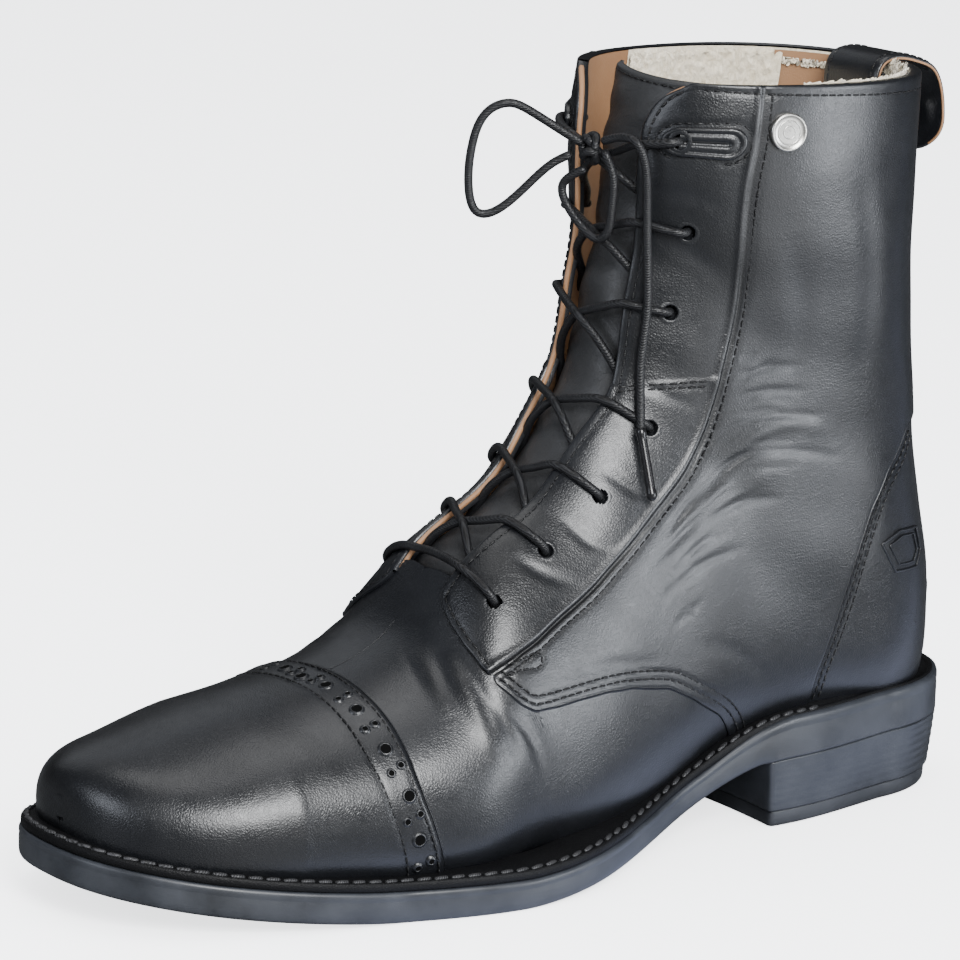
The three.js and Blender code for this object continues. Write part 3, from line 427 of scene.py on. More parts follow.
class Shell:
    """Collects grids and loops of points in millimetres and makes one mesh of them."""

    def __init__(self):
        self.points, self.faces, self.tints, self.count = [], [], [], 0

    def grid(self, points, outward=None, close=False, tint=0.0):
        """Quads over rows and columns of points, facing the given normals."""
        rows, cols = points.shape[:2]
        index = np.arange(rows * cols).reshape(rows, cols) + self.count
        if close:
            index = np.concatenate([index, index[:, :1]], axis=1)
        a, b, c, d = index[:-1, :-1], index[:-1, 1:], index[1:, 1:], index[1:, :-1]
        quads = np.stack([a, b, c, d], -1).reshape(-1, 4)
        if outward is not None:
            outward = np.broadcast_to(outward, points.shape)
            i, j = rows // 2, cols // 2
            i2, j2 = min(i + 1, rows - 1), min(j + 1, cols - 1)
            i1, j1 = i2 - 1, j2 - 1
            face = np.cross(points[i1, j2] - points[i1, j1], points[i2, j1] - points[i1, j1])
            if face @ outward[i1, j1] < 0:
                quads = quads[:, ::-1]
        self.points.append(points.reshape(-1, 3))
        self.tints.append(np.broadcast_to(np.asarray(tint, float), (rows, cols)).ravel())
        self.faces.append(quads)
        self.count += rows * cols
        return self

    def loft(self, loops, ends=True, tint=0.0):
        """A closed tube through loops of points, with a fan at each end."""
        loops = np.asarray(loops, float)
        n, first, block = loops.shape[1], self.count, len(self.faces)
        self.grid(loops, close=True, tint=tint)
        last = first + (len(loops) - 1) * n
        for start, row, turn in ((first, 0, 1), (last, len(loops) - 1, -1)) if ends else ():
            self.points.append(loops[row].mean(0)[None])
            self.tints.append(np.full(1, float(np.ravel(tint)[0])))
            a = start + np.arange(n)
            b = start + (np.arange(n) + 1) % n
            self.faces.append(np.stack([np.full(n, self.count), b, a][::1 if turn > 0 else -1], -1))
            self.count += 1
        k = len(loops) // 2
        ring, after = loops[k], loops[min(k + 1, len(loops) - 1)]
        before = loops[max(k - 1, 0)]
        normal = np.cross(np.roll(ring, -1, 0) - ring, after - before)
        outside = ring - ring.mean(0)
        if np.sum(normal * outside) < 0:
            for f in range(block, len(self.faces)):
                self.faces[f] = self.faces[f][:, ::-1]
        return self

    def make(self, name, material, slot, replaces=(), weld=0.0):
        points = np.concatenate(self.points)
        tints = np.concatenate(self.tints)
        faces = [f for block in self.faces for f in block.tolist()]
        if weld:
            keys = np.round(points / weld).astype(np.int64)
            _, first, back = np.unique(keys, axis=0, return_index=True, return_inverse=True)
            back = back.ravel()
            points, tints = points[first], tints[first]
            faces = [list(dict.fromkeys(back[face].tolist())) for face in faces]
            faces = [face for face in faces if len(face) > 2]
        data = bpy.data.meshes.new(name)
        data.from_pydata(metres(points).tolist(), [], faces)
        data.validate()
        data.shade_smooth()
        if len(data.vertices) == len(tints):
            attribute = data.attributes.new("tint", "FLOAT", "POINT")
            attribute.data.foreach_set("value", tints.astype(np.float32))
        data.materials.append(material)
        piece = add_object(name, data)
        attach(piece, "root")
        if replaces:
            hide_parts(*replaces)
        return piece


def frames_along(path, up=None):
    """Directions, sideways and upward vectors along a path, turned as little as possible."""
    t = unit(np.gradient(path, axis=0))
    if up is None:
        first = np.array([0, 0, 1.0]) if abs(t[0, 2]) < 0.9 else np.array([1.0, 0, 0])
        ups = [first - t[0] * (first @ t[0])]
        for one in t[1:]:
            ups.append(unit(ups[-1] - one * (ups[-1] @ one)))
        up = unit(np.array(ups))
    else:
        up = unit(up - t * np.sum(up * t, axis=1, keepdims=True))
    return t, np.cross(t, up), up


def tube(shell, path, radius, sides=12, up=None, flat=1.0, caps=True, tint=0.0):
    """A tube along points; radius may be one number or one for each point, flat squeezes its height."""
    t, side, up = frames_along(path, up)
    radius = np.broadcast_to(np.asarray(radius, float), (len(path),))
    angle = np.arange(sides) * 2 * np.pi / sides
    ring = (np.cos(angle)[None, :, None] * side[:, None] + np.sin(angle)[None, :, None] * up[:, None] * flat)
    loops = path[:, None] + ring * radius[:, None, None]
    if caps:
        dome = [(0.55, 0.83), (0.9, 0.42)]
        start = [path[0] - t[0] * radius[0] * d + ring[0] * radius[0] * s for d, s in reversed(dome)]
        end = [path[-1] + t[-1] * radius[-1] * d + ring[-1] * radius[-1] * s for d, s in dome]
        loops = np.concatenate([np.array(start), loops, np.array(end)])
    shell.loft(loops, tint=tint)
    return shell


def nearest(points, path):
    """Distance from each point to a path's points, and the place along it from 0 to 1."""
    flat = np.asarray(points, float).reshape(-1, 3)
    best = np.full(len(flat), 1e9)
    place = np.zeros(len(flat))
    low, high = path.min(0) - 14, path.max(0) + 14
    inside = np.nonzero(np.all((flat > low) & (flat < high), axis=1))[0]
    for chunk in np.array_split(inside, max(1, len(inside) // 4000)):
        if len(chunk):
            d = np.linalg.norm(flat[chunk, None] - path[None], axis=2)
            k = d.argmin(1)
            best[chunk] = d[np.arange(len(chunk)), k]
            place[chunk] = k / max(1, len(path) - 1)
    return best.reshape(points.shape[:-1]), place.reshape(points.shape[:-1])


def surface_path(table, side):
    """Points a millimetre apart on the form, along a line given by travel and distance from the ridge."""
    uv = curve(table, 0.5)
    p, _ = on_form(uv[:, 0], uv[:, 1], side)
    run = run_along(p)
    return sampled(np.linspace(0, run[-1], max(2, int(run[-1]))), run, p)


# Materials

class Nodes:
    """A node material under construction."""

    def __init__(self, name):
        self.material = bpy.data.materials.new(name)
        self.material.use_nodes = True
        self.tree = self.material.node_tree
        self.shader = self.tree.nodes["Principled BSDF"]
        self.place = self.add("ShaderNodeTexCoord").outputs["Object"]

    def add(self, kind, **values):
        node = self.tree.nodes.new(kind)
        for key, value in values.items():
            setattr(node, key, value)
        return node

    def put(self, socket, value):
        if isinstance(value, bpy.types.NodeSocket):
            self.tree.links.new(value, socket)
        else:
            socket.default_value = value

    def stretched(self, scale):
        return self.fill(self.add("ShaderNodeMapping"), None, Scale=scale)["Vector"]

    def fill(self, node, vector, **inputs):
        self.put(node.inputs["Vector"], vector or self.place)
        for key, value in inputs.items():
            node.inputs[key].default_value = value
        return node.outputs

    def noise(self, scale, detail=4, roughness=0.55, vector=None, distortion=0.0):
        return self.fill(self.add("ShaderNodeTexNoise"), vector, Scale=scale, Detail=detail, Roughness=roughness,
                         Distortion=distortion)["Fac"]

    def cells(self, scale, feature="DISTANCE_TO_EDGE"):
        return self.fill(self.add("ShaderNodeTexVoronoi", feature=feature), None, Scale=scale)["Distance"]

    def wave(self, scale, vector, distortion, direction):
        node = self.add("ShaderNodeTexWave", bands_direction=direction)
        return self.fill(node, vector, Scale=scale, Distortion=distortion)["Fac"]

    def tint(self):
        return self.add("ShaderNodeAttribute", attribute_name="tint").outputs["Fac"]

    def span(self, value, low, high, to_low=0.0, to_high=1.0):
        node = self.add("ShaderNodeMapRange")
        self.put(node.inputs["Value"], value)
        for key, number in (("From Min", low), ("From Max", high), ("To Min", to_low), ("To Max", to_high)):
            node.inputs[key].default_value = number
        return node.outputs["Result"]

    def math(self, operation, a, b=0.0):
        node = self.add("ShaderNodeMath", operation=operation)
        self.put(node.inputs[0], a)
        self.put(node.inputs[1], b)
        return node.outputs[0]

    def mix(self, factor, a, b):
        node = self.add("ShaderNodeMix", data_type="RGBA")
        self.put(node.inputs["Factor"], factor)
        for socket, value in ((node.inputs["A"], a), (node.inputs["B"], b)):
            self.put(socket, (*value, 1) if isinstance(value, tuple) else value)
        return node.outputs["Result"]

    def bump(self, height, distance, strength=1.0, after=None):
        node = self.add("ShaderNodeBump")
        node.inputs["Strength"].default_value = strength
        node.inputs["Distance"].default_value = distance * MM
        self.put(node.inputs["Height"], height)
        if after is not None:
            self.put(node.inputs["Normal"], after)
        return node.outputs["Normal"]

    def finish(self, color, roughness, normal=None, **rest):
        self.put(self.shader.inputs["Base Color"], (*color, 1) if isinstance(color, tuple) else color)
        self.put(self.shader.inputs["Roughness"], roughness)
        if normal is not None:
            self.put(self.shader.inputs["Normal"], normal)
        for key, value in rest.items():
            self.put(self.shader.inputs[key.replace("_", " ")], value)
        return self.material


def leather(name, deep, worn, rough=(0.3, 0.43), grain=0.07, coat=0.22, wrinkle=0.16, shine=0.42):
    """Smooth leather: fine grain, faint wrinkles, paler and rougher where the tint says it is worn; darker and rougher
    where the tint is below zero, which is painted shade in the big seam's trough and also falls on the creases' ridges.
    """
    n = Nodes(name)
    cloud = n.noise(22, 3)
    patch = n.noise(140, 5, 0.6)
    tone = n.span(cloud, 0.35, 0.7)
    color = n.mix(n.math("MULTIPLY", tone, 0.5), deep, worn)
    color = n.mix(n.span(n.tint(), 0.0, 1.0, 0.0, 0.8), color, worn)
    # Painted shade: tints below zero darken towards this tone, in the big seam's trough; the creases' ridges get it too
    dark = tuple(0.35 * c for c in deep)
    color = n.mix(n.span(n.tint(), -1.0, 0.0, 1.0, 0.0), color, dark)
    rough_base = n.span(patch, 0.3, 0.75, rough[0], rough[1])
    worn_rough = n.math("MULTIPLY", n.math("ABSOLUTE", n.tint()), 0.12)
    pores = n.cells(1300)
    fold = n.noise(260, 6, 0.62, n.stretched((1.0, 0.7, 1.5)), 1.2)
    normal = n.bump(n.span(pores, 0.0, 0.35), grain, 0.5)
    normal = n.bump(fold, wrinkle, 0.55, normal)
    return n.finish(color, n.math("ADD", rough_base, worn_rough), normal,
                    Coat_Weight=coat, Coat_Roughness=0.27, Specular_IOR_Level=shine)


def rubber(name, deep, worn, rough):
    n = Nodes(name)
    cloud = n.noise(70, 5, 0.6)
    scuff = n.noise(420, 8, 0.7, n.stretched((0.25, 0.25, 1.6)), 0.6)
    color = n.mix(n.span(cloud, 0.35, 0.72), deep, worn)
    color = n.mix(n.span(scuff, 0.62, 0.75, 0.0, 0.35), color, tuple(1.9 * c for c in worn))
    normal = n.bump(scuff, 0.05, 0.6)
    normal = n.bump(n.noise(2600, 2), 0.02, 0.5, normal)
    return n.finish(color, n.span(cloud, 0.3, 0.7, *rough), normal)


def thread(name, deep, pale, twist=900):
    """Twisted or woven cord."""
    n = Nodes(name)
    strands = n.wave(twist, n.stretched((1.0, 1.0, 1.4)), 1.5, "DIAGONAL")
    weave = n.cells(1900, "F1")
    color = n.mix(n.span(strands, 0.2, 0.9), deep, pale)
    normal = n.bump(strands, 0.12, 0.7)
    normal = n.bump(weave, 0.08, 0.6, normal)
    return n.finish(color, n.span(weave, 0.0, 0.8, 0.34, 0.55), normal, Specular_IOR_Level=0.32)


def fleece(name, deep, pale):
    n = Nodes(name)
    clumps = n.noise(330, 6, 0.7, None, 1.6)
    hair = n.noise(2300, 5, 0.75, n.stretched((1.0, 1.0, 0.5)), 2.0)
    color = n.mix(n.span(clumps, 0.3, 0.7), deep, pale)
    normal = n.bump(clumps, 1.4, 0.9)
    normal = n.bump(hair, 0.4, 0.8, normal)
    return n.finish(color, 0.95, normal, Sheen_Weight=0.6, Sheen_Roughness=0.6)


def metal(name, color, rough, brushed=0.04):
    n = Nodes(name)
    fine = n.noise(900, 5, 0.6, n.stretched((1.0, 1.0, 6.0)))
    return n.finish(color, n.span(fine, 0.3, 0.7, rough * 0.8, rough * 1.25), n.bump(fine, brushed, 0.4), Metallic=1.0)


def woven(name, deep, pale):
    n = Nodes(name)
    rib = n.wave(620, None, 0.2, "Z")
    cross = n.wave(760, None, 0.2, "Y")
    cloth = n.math("MULTIPLY", rib, cross)
    return n.finish(n.mix(cloth, deep, pale), 0.8, n.bump(cloth, 0.15, 0.8))


def matt(name, color, rough=0.6, shine=0.4):
    n = Nodes(name)
    dust = n.noise(600, 4)
    return n.finish(n.mix(n.span(dust, 0.4, 0.7), color, tuple(1.3 * c for c in color)), rough, n.bump(dust, 0.03, 0.5),
                    Specular_IOR_Level=shine)


BLACK = leather("black_leather", (0.0026, 0.0029, 0.0037), (0.0075, 0.0083, 0.0105))
SATIN = leather("satin_leather", (0.009, 0.0093, 0.01), (0.021, 0.0215, 0.023), (0.42, 0.56), 0.05, 0.1, 0.5)
TAN = leather("tan_leather", (0.17, 0.085, 0.038), (0.25, 0.14, 0.07), (0.55, 0.7), 0.06, 0.0, 0.1)
FLEECE = fleece("cream_fleece", (0.5, 0.41, 0.26), (0.84, 0.76, 0.59))
SOLE = rubber("sole_rubber", (0.0085, 0.0098, 0.0125), (0.018, 0.0205, 0.026), (0.36, 0.5))
LIFT = rubber("lift_rubber", (0.008, 0.0092, 0.0118), (0.017, 0.019, 0.0235), (0.42, 0.55))
WELT = leather("welt_leather", (0.002, 0.002, 0.0023), (0.005, 0.0052, 0.006), (0.46, 0.6), 0.1, 0.0, 0.25, 0.14)
STITCH = thread("black_thread", (0.0012, 0.0012, 0.0014), (0.004, 0.004, 0.0046))
WELT_THREAD = thread("welt_thread", (0.006, 0.006, 0.0065), (0.026, 0.026, 0.028))
LACE = thread("lace_cord", (0.0016, 0.0016, 0.002), (0.0065, 0.0068, 0.008), 700)
LACE_TIP = matt("lace_tip", (0.004, 0.004, 0.0045), 0.25)
TAPE = woven("zip_tape", (0.004, 0.004, 0.004), (0.014, 0.014, 0.015))
TEETH = metal("zip_teeth", (0.03, 0.03, 0.032), 0.4)
DARK_METAL = metal("dark_metal", (0.16, 0.16, 0.17), 0.32)
BADGE_METAL = metal("badge_metal", (0.5, 0.49, 0.46), 0.32)
STUD_METAL = metal("stud_metal", (0.42, 0.42, 0.43), 0.22)
# Flat black for the discs that paint the shade inside the cap's punched holes
HOLE_SHADE = matt("hole_painted_shade", (0.001, 0.001, 0.001), 0.9, 0.05)


# Camera and free lace

def photo_camera():
    data = bpy.data.cameras.new("photo_camera")
    data.sensor_width = 36
    data.lens = 169.51
    data.clip_end = 20
    yaw, pitch, roll = -2.222977, -0.235425, 0.0296454
    forward = Vector((math.cos(pitch) * math.cos(yaw), math.cos(pitch) * math.sin(yaw), math.sin(pitch)))
    right = forward.cross(Vector((0, 0, 1))).normalized()
    up = right.cross(forward)
    right, up = right * math.cos(roll) + up * math.sin(roll), up * math.cos(roll) - right * math.sin(roll)
    camera = add_object("photo_camera", data)
    turn = Matrix((right, up, -forward)).transposed().to_4x4()
    camera.matrix_world = Matrix.Translation((0.832989, 0.937462, 0.385557)) @ turn
    bpy.context.scene.camera = camera


def free_lace(name, points):
    path = curve(points, 0.8)
    shell = Shell()
    tube(shell, path, LACE_RADIUS, 14)
    piece = shell.make(name, LACE, "lace", [name])
    route = metres(path)


def knot_and_ends():
    shell = Shell()
    k = np.array(KNOT)
    t = np.linspace(0, 2 * np.pi, 40)
    wraps = (
        (0.5, np.stack([0.9 * np.cos(2 * t), 2.7 * np.cos(t), 3.5 * np.sin(t)], -1)),
        (-0.6, np.stack([1.6 * np.cos(t) + 0.4, 2.2 * np.sin(t) - 0.4, 1.9 * np.cos(t + 0.6) + 0.8], -1)),
        (1.4, np.stack([1.7 * np.sin(t), 2.0 * np.cos(t) + 0.6, 1.2 * np.sin(t + 0.9) - 1.6], -1)),
    )
    for shift, ring in wraps:
        tube(shell, k + ring + [shift, 0, 0], LACE_RADIUS, 12, caps=False)
    knot = shell.make("lace_knot", LACE, "lace", ["lace_knot"])
    tip = Shell()
    path = curve(AGLET, 0.8)
    swell = 0.16 * (np.abs(np.linspace(-1, 1, len(path))) > 0.86)
    tube(tip, path, LACE_RADIUS + 0.12 + swell, 14)
    aglet = tip.make("lace_aglet", LACE_TIP, "lace_tip", ["lace_aglet"])
    free_lace("lace_loop_front", LOOP_FRONT)
    free_lace("lace_loop_fall", LOOP_FALL)
    free_lace("lace_end", END_FALL)


# Panels

def back_height(u):
    return COLUMNS[1](u)


def slot_half(u):
    return ZIP_SLOT / 2 * smooth((back_height(u) - ZIP_FOOT + 2) / 3)


wing_edge = line([*WING, (146, 190)])
heel_edge = line([(152, 210), *HEEL_SEAM, (256, 190)])


def lower_edge(u):
    """Distance from the ridge of the quarters' lower and back edge."""
    u = np.asarray(u, float)
    back = full_arc(u) - slot_half(u)
    wing = np.where(u < 147, wing_edge(u), FAR)
    heel = np.where((u > 153) & (u < 256), heel_edge(u), FAR)
    return np.minimum(np.minimum(wing, heel), np.minimum(np.where(u < 200, foot(u), FAR), back))


def quarter_skin(u, off):
    past = off - big_seam_at(u)
    lift = FACING_LIFT + (QUARTER_LIFT - FACING_LIFT) * smooth(past / 1.2 + 0.5)
    flap = smooth((flap_top_at(off) - u) / 1.1 + 0.5) * (past < 1.2)
    lift = lift + (FLAP_LIFT - lift) * flap * smooth(0.5 - past / 1.0)
    bead = BEAD * np.exp(-((past + 0.9) / 0.95) ** 2) - 0.95 * np.exp(-((past - 0.45) / 0.6) ** 2)
    return lift + bead


# Creases: height (below 0 a trough), width, shifts of the repeated line, lines by travel and distance from the ridge
CREASE_SETS = [
    (-0.2, 1.2, (0, 1.9), [
        [(137.9, 47.2), (157.7, 50.5), (176.5, 56.5), (197.4, 67.2)],
        [(127.0, 49.3), (146.8, 53.4), (165.6, 57.7), (183.5, 67.9)],
        [(129.9, 59.5), (147.8, 64.0), (163.7, 73.3)],
        [(156.7, 57.1), (174.6, 66.9), (187.5, 79.1)],
    ]),
    (-0.16, 1.0, (0, 1.7, 3.1), [
        [(176.5, 47.9), (195.4, 57.4), (210.3, 71.1), (220.2, 84.9)],
        [(173.6, 54.0), (189.4, 63.4), (203.3, 78.2), (213.2, 95.8)],
        [(201.3, 52.9), (212.3, 62.2), (223.2, 76.0)],
        [(208.3, 52.6), (220.2, 61.1), (230.1, 72.6)],
    ]),
    (0.4, 2.6, (1.0,), [
        [(150.0, 52.0), (172.0, 60.0), (192.0, 74.0)],
        [(190.0, 58.0), (207.0, 71.0), (217.0, 88.0)],
    ]),
    (-0.26, 1.15, (0, 2.3), [
        [(57.5, 37.4), (60.5, 47.9), (62.5, 60.0)],
        [(57.5, 24.7), (56.5, 36.6), (55.5, 49.2)],
        [(62.5, 46.0), (70.0, 58.8), (72.4, 70.6)],
        [(54.6, 15.9), (51.6, 23.7), (46.6, 33.5)],
        [(49.6, 7.1), (44.6, 20.1), (41.7, 29.1)],
    ]),
    (0.45, 2.4, (1.1,), [
        [(53.0, 20.0), (52.0, 36.0), (54.0, 54.0)],
        [(48.0, 12.0), (46.0, 26.0), (44.5, 38.0)],
    ]),
    (-0.4, 1.7, (0,), [
        [(111.1, 20.4), (115.1, 31.7), (122.0, 37.5)],
        [(134.9, 22.5), (139.8, 32.9), (145.8, 40.1)],
        [(90.0, 19.0), (95.0, 28.0), (104.0, 36.0)],
        [(176.0, 22.0), (181.0, 32.0), (187.0, 42.0)],
    ]),
    (-0.45, 4.0, (0,), [
        [(294.6, 79.5), (268.8, 91.6), (241.0, 96.6)],
        [(270.8, 59.6), (250.9, 67.4), (228.1, 71.0)],
    ]),
    (-0.3, 2.4, (0,), [
        [(87.3, 53.4), (105.1, 59.9), (122.0, 72.3)],
        [(136.9, 79.7), (146.8, 94.6), (151.8, 111.1)],
        [(240.0, 20.0), (243.0, 30.0), (241.0, 41.0)],
        [(262.0, 19.0), (266.0, 29.0), (268.0, 40.0)],
    ]),
]


def crease_lines():
    lines = []
    for rise, width, shifts, tables in CREASE_SETS:
        for table in tables:
            for k, shift in enumerate(shifts):
                moved = [(u + shift * 0.8, a + shift * 0.5) for u, a in table]
                for side, strength in ((1, 1.0), (-1, 0.6)):
                    lines.append((surface_path(moved, side), rise * strength * (1 - 0.22 * k), width))
    fine = np.random.default_rng(11)
    ankle = [table for _, _, _, tables in CREASE_SETS[:2] for table in tables]
    for _ in range(34):
        table = np.array(ankle[fine.integers(len(ankle))], float)
        start = fine.uniform(0, 0.5)
        at = np.linspace(start, start + fine.uniform(0.3, 0.5), 4) * (len(table) - 1)
        shift = fine.uniform(-8, 8, 2)
        part = [(np.interp(t, np.arange(len(table)), table[:, 0]) + shift[0],
                 max(np.interp(t, np.arange(len(table)), table[:, 1]) + shift[1], 50.0)) for t in at]
        lines.append((surface_path(part, 1), -fine.uniform(0.08, 0.2), 0.95))
    return lines


def folds(points):
    """Height of the creases at points of the form."""
    height = np.zeros(points.shape[:-1])
    for path, rise, width in CREASES:
        d, place = nearest(points, path)
        height += rise * np.exp(-((d / width) ** 2)) * np.sin(np.pi * np.clip(place, 0.02, 0.98)) ** 0.6
    return height


CREASES = crease_lines()
GROOVES = []
GROOVE_DEPTH = 0.2
GROOVE_WIDTH = 0.85


def grooves(points):
    """Depth of the seams' troughs at points of the form."""
    height = np.zeros(points.shape[:-1])
    for path in GROOVES:
        d, _ = nearest(points, path[::2])
        height -= GROOVE_DEPTH * np.exp(-((d / GROOVE_WIDTH) ** 2))
    return height


def waver(u, off, side):
    """Slow unevenness of worn leather."""
    a = off * side
    return 0.11 * (np.sin(u / 7.3 + a / 11) + np.sin(a / 6.1 - u / 17 + 1.3) + 0.7 * np.sin(u / 3.9 - a / 8 + 4))


def leather_sheet(shell, u, off, side, skin, tint=0.0):
    """A panel's surface with its creases, seam troughs and unevenness."""
    p, n = on_form(u, off, side)
    crease = folds(p)
    skin = skin + crease + grooves(p) + waver(u, off, side)
    # Colour follows the creases: paler and rougher in their troughs, darker on their ridges
    tint = tint + np.clip(-0.9 * crease, -0.3, 0.5)
    shell.grid(p + n * skin[..., None], n, tint=tint)
    return p, n, skin


RIM = [(0, 0), (0.3, -0.12), (0.55, -0.42), (0.62, -0.85)]


def rim(shell, u, off, side, skin, turn_u, turn_off, low, tint=0.12):
    """Rounded edge of a panel along a row of surface places, bulging towards the given turn."""
    steps = RIM + [(0.62, None), (0.35, None)]
    rows = []
    for out, drop in steps:
        uu, aa = u + turn_u * out, off + turn_off * out
        p, n = on_form(uu, aa, side)
        height = skin + drop if drop is not None else np.full(len(u), low + (0.25 if out > 0.5 else 0.0))
        rows.append(p + n * np.minimum(height, skin)[:, None])
    grid = np.stack(rows)
    away, _ = on_form(u + turn_u * 5, off + turn_off * 5, side)
    shell.grid(grid, away - on_form(u, off, side)[0], tint=tint)


EYE_RING = [(3.3, -0.1), (2.8, 0.0), (2.35, 0.04), (2.1, -0.04), (1.95, -0.35), (1.95, -2.3), (0.02, -2.3)]


def eyelet_places(side):
    places = []
    for u, off in EYELETS:
        p, n = on_form(u, off, side)
        skin = quarter_skin(np.array(float(u)), np.array(float(off)))
        places.append((p + n * float(skin), n))
    return places


def ring_lathe(shell, centre, normal, profile, sides=28, tint=0.0):
    """Turned shape round an axis; profile holds radius and height along the normal."""
    helper = np.array([0, 0, 1.0]) if abs(normal[2]) < 0.9 else np.array([1.0, 0, 0])
    x = unit(np.cross(helper, normal))
    y = np.cross(normal, x)
    angle = np.arange(sides) * 2 * np.pi / sides
    ring = np.cos(angle)[:, None] * x + np.sin(angle)[:, None] * y
    shell.grid(np.array([centre + ring * r + normal * h for r, h in profile]), close=True, tint=tint)


def quarter(side, step):
    """One side's quarter with its facing and lower flap."""
    shell = Shell()
    rows = np.linspace(QUARTER_FRONT, COLLAR, int((COLLAR - QUARTER_FRONT) / step))
    fade = 1 - smooth((rows - QUARTER_FRONT) / 14)
    front, seam, back = throat_at(np.maximum(rows, 61.6)), big_seam_at(rows), lower_edge(rows)
    seam = np.minimum(seam, back - 0.6)
    off = np.concatenate([spread(rows, front, seam, int(34 / step) + 1)[1],
                          spread(rows, seam, back, int(88 / step) + 1)[1][:, 1:]], axis=1)
    flap = np.maximum(flap_front_at(np.clip(off, 11.3, 37)) - QUARTER_FRONT, 0)
    shift = np.where(off < 37, flap, 1.9 * smooth((41 - off) / 4))
    u = rows[:, None] + shift * fade[:, None]
    skin = quarter_skin(u, off)
    edge_fade = smooth(np.minimum(off - front[:, None], back[:, None] - off) / 1.2)
    skin = skin - 0.18 * (1 - edge_fade)
    holes = eyelet_places(side)
    start = len(shell.faces)
    # Painted shade: the leather's colour is darkened along the trough just past the big seam
    seam_trough_shade = np.exp(-(((off - big_seam_at(u) - 0.4) / 0.8) ** 2))
    p, n, full = leather_sheet(shell, u, off, side, skin, 0.1 * (1 - edge_fade) - 0.8 * seam_trough_shade)
    points = shell.points[-1]
    quads = shell.faces[start]
    middle = points[quads].mean(1)
    keep = np.ones(len(quads), bool)
    for centre, normal in holes:
        d = middle - centre
        flat = d - (d @ normal)[:, None] * normal
        keep &= (np.linalg.norm(flat, axis=1) > HOLE_CLEAR) | (np.abs(d @ normal) > 6)
    shell.faces[start] = quads[keep]
    rim(shell, u[:, 0], off[:, 0], side, full[:, 0], 0, -1, -WALL)
    rim(shell, u[:, -1], off[:, -1], side, full[:, -1], 0, 1, -0.3)
    rim(shell, u[0], off[0], side, full[0], -1, 0, -0.3)
    rim(shell, u[-1], off[-1], side, full[-1], 1, 0, -WALL)
    for centre, normal in holes:
        ring_lathe(shell, centre, normal, EYE_RING, tint=0.15)
    name = "quarter_outer" if side > 0 else "quarter_inner"
    return shell.make(name, BLACK, "black_leather", ["upper"], weld=WELD)


def vamp():
    shell = Shell()
    rows = np.linspace(24, 152, 130)
    for side in (1, -1):
        ramp = np.clip((rows - 72) * 9, 0, np.maximum(np.minimum(wing_edge(np.minimum(rows, 146)), foot(rows)) - 14, 0))
        u, off = spread(rows, ramp, foot(rows), 110)
        leather_sheet(shell, u, off, side, VAMP_LIFT)
        edge = rows < 80
        rim(shell, u[edge, 0], off[edge, 0], side, np.full(edge.sum(), VAMP_LIFT), 0, -0.01, -WALL)
    return shell.make("vamp", BLACK, "black_leather", ["upper"], weld=WELD)


def toe_cap():
    shell = Shell()
    first = []
    for side in (1, -1):
        q = np.linspace(0, 1, 120)
        s = np.concatenate([np.linspace(0.02, 0.97, 105), np.linspace(0.97, 1, 8)[1:]])
        u = np.full((len(s), len(q)), 10.0)
        for _ in range(6):
            off = q[None] * foot(u)
            u = -TOE_DEPTH + s[:, None] * (cap_edge_at(off) + TOE_DEPTH)
        off = q[None] * foot(u)
        away = (1 - s[:, None]) * (cap_edge_at(off) + TOE_DEPTH)
        skin = CAP_LIFT - 0.9 * (1 - smooth(away / 1.6)) ** 2
        p, n, full = leather_sheet(shell, u, off, side, skin, 0.0)
        rim(shell, u[-1], off[-1], side, full[-1], 1, 0, -0.2)
        first.append(p[0] + n[0] * full[0][:, None])
    bridge = [first[0] * (1 - k) + first[1] * k + [0.1 * math.sin(math.pi * k), 0, 0] for k in np.linspace(0, 1, 9)]
    shell.grid(np.array(bridge), (1.0, 0, 0))
    return shell.make("toe_cap", BLACK, "black_leather", ["toe_cap"], weld=WELD)


def heel_panel():
    shell = Shell()
    rows = np.linspace(153, 257, 100)
    for side in (1, -1):
        start = heel_edge(np.clip(rows, 159.7, 251)) - 7
        end = np.where(rows < 200, foot(rows), full_arc(rows)) - slot_half(rows)
        start = np.minimum(start, end - 1)
        u, off = spread(rows, start, end, 46)
        leather_sheet(shell, u, off, side, VAMP_LIFT)
        top = back_height(rows) > ZIP_FOOT - 2
        rim(shell, u[top, -1], off[top, -1], side, np.full(top.sum(), VAMP_LIFT), 0, 1, -WALL)
    return shell.make("heel_panel", BLACK, "black_leather", ["upper"], weld=WELD)


TAN_REACH = 58.0
rng = np.random.default_rng(7)


def inner_sheet(shell, u, off, side, skin=-WALL):
    shell.grid(over_form(u, off, side, skin), -on_form(u, off, side)[1])


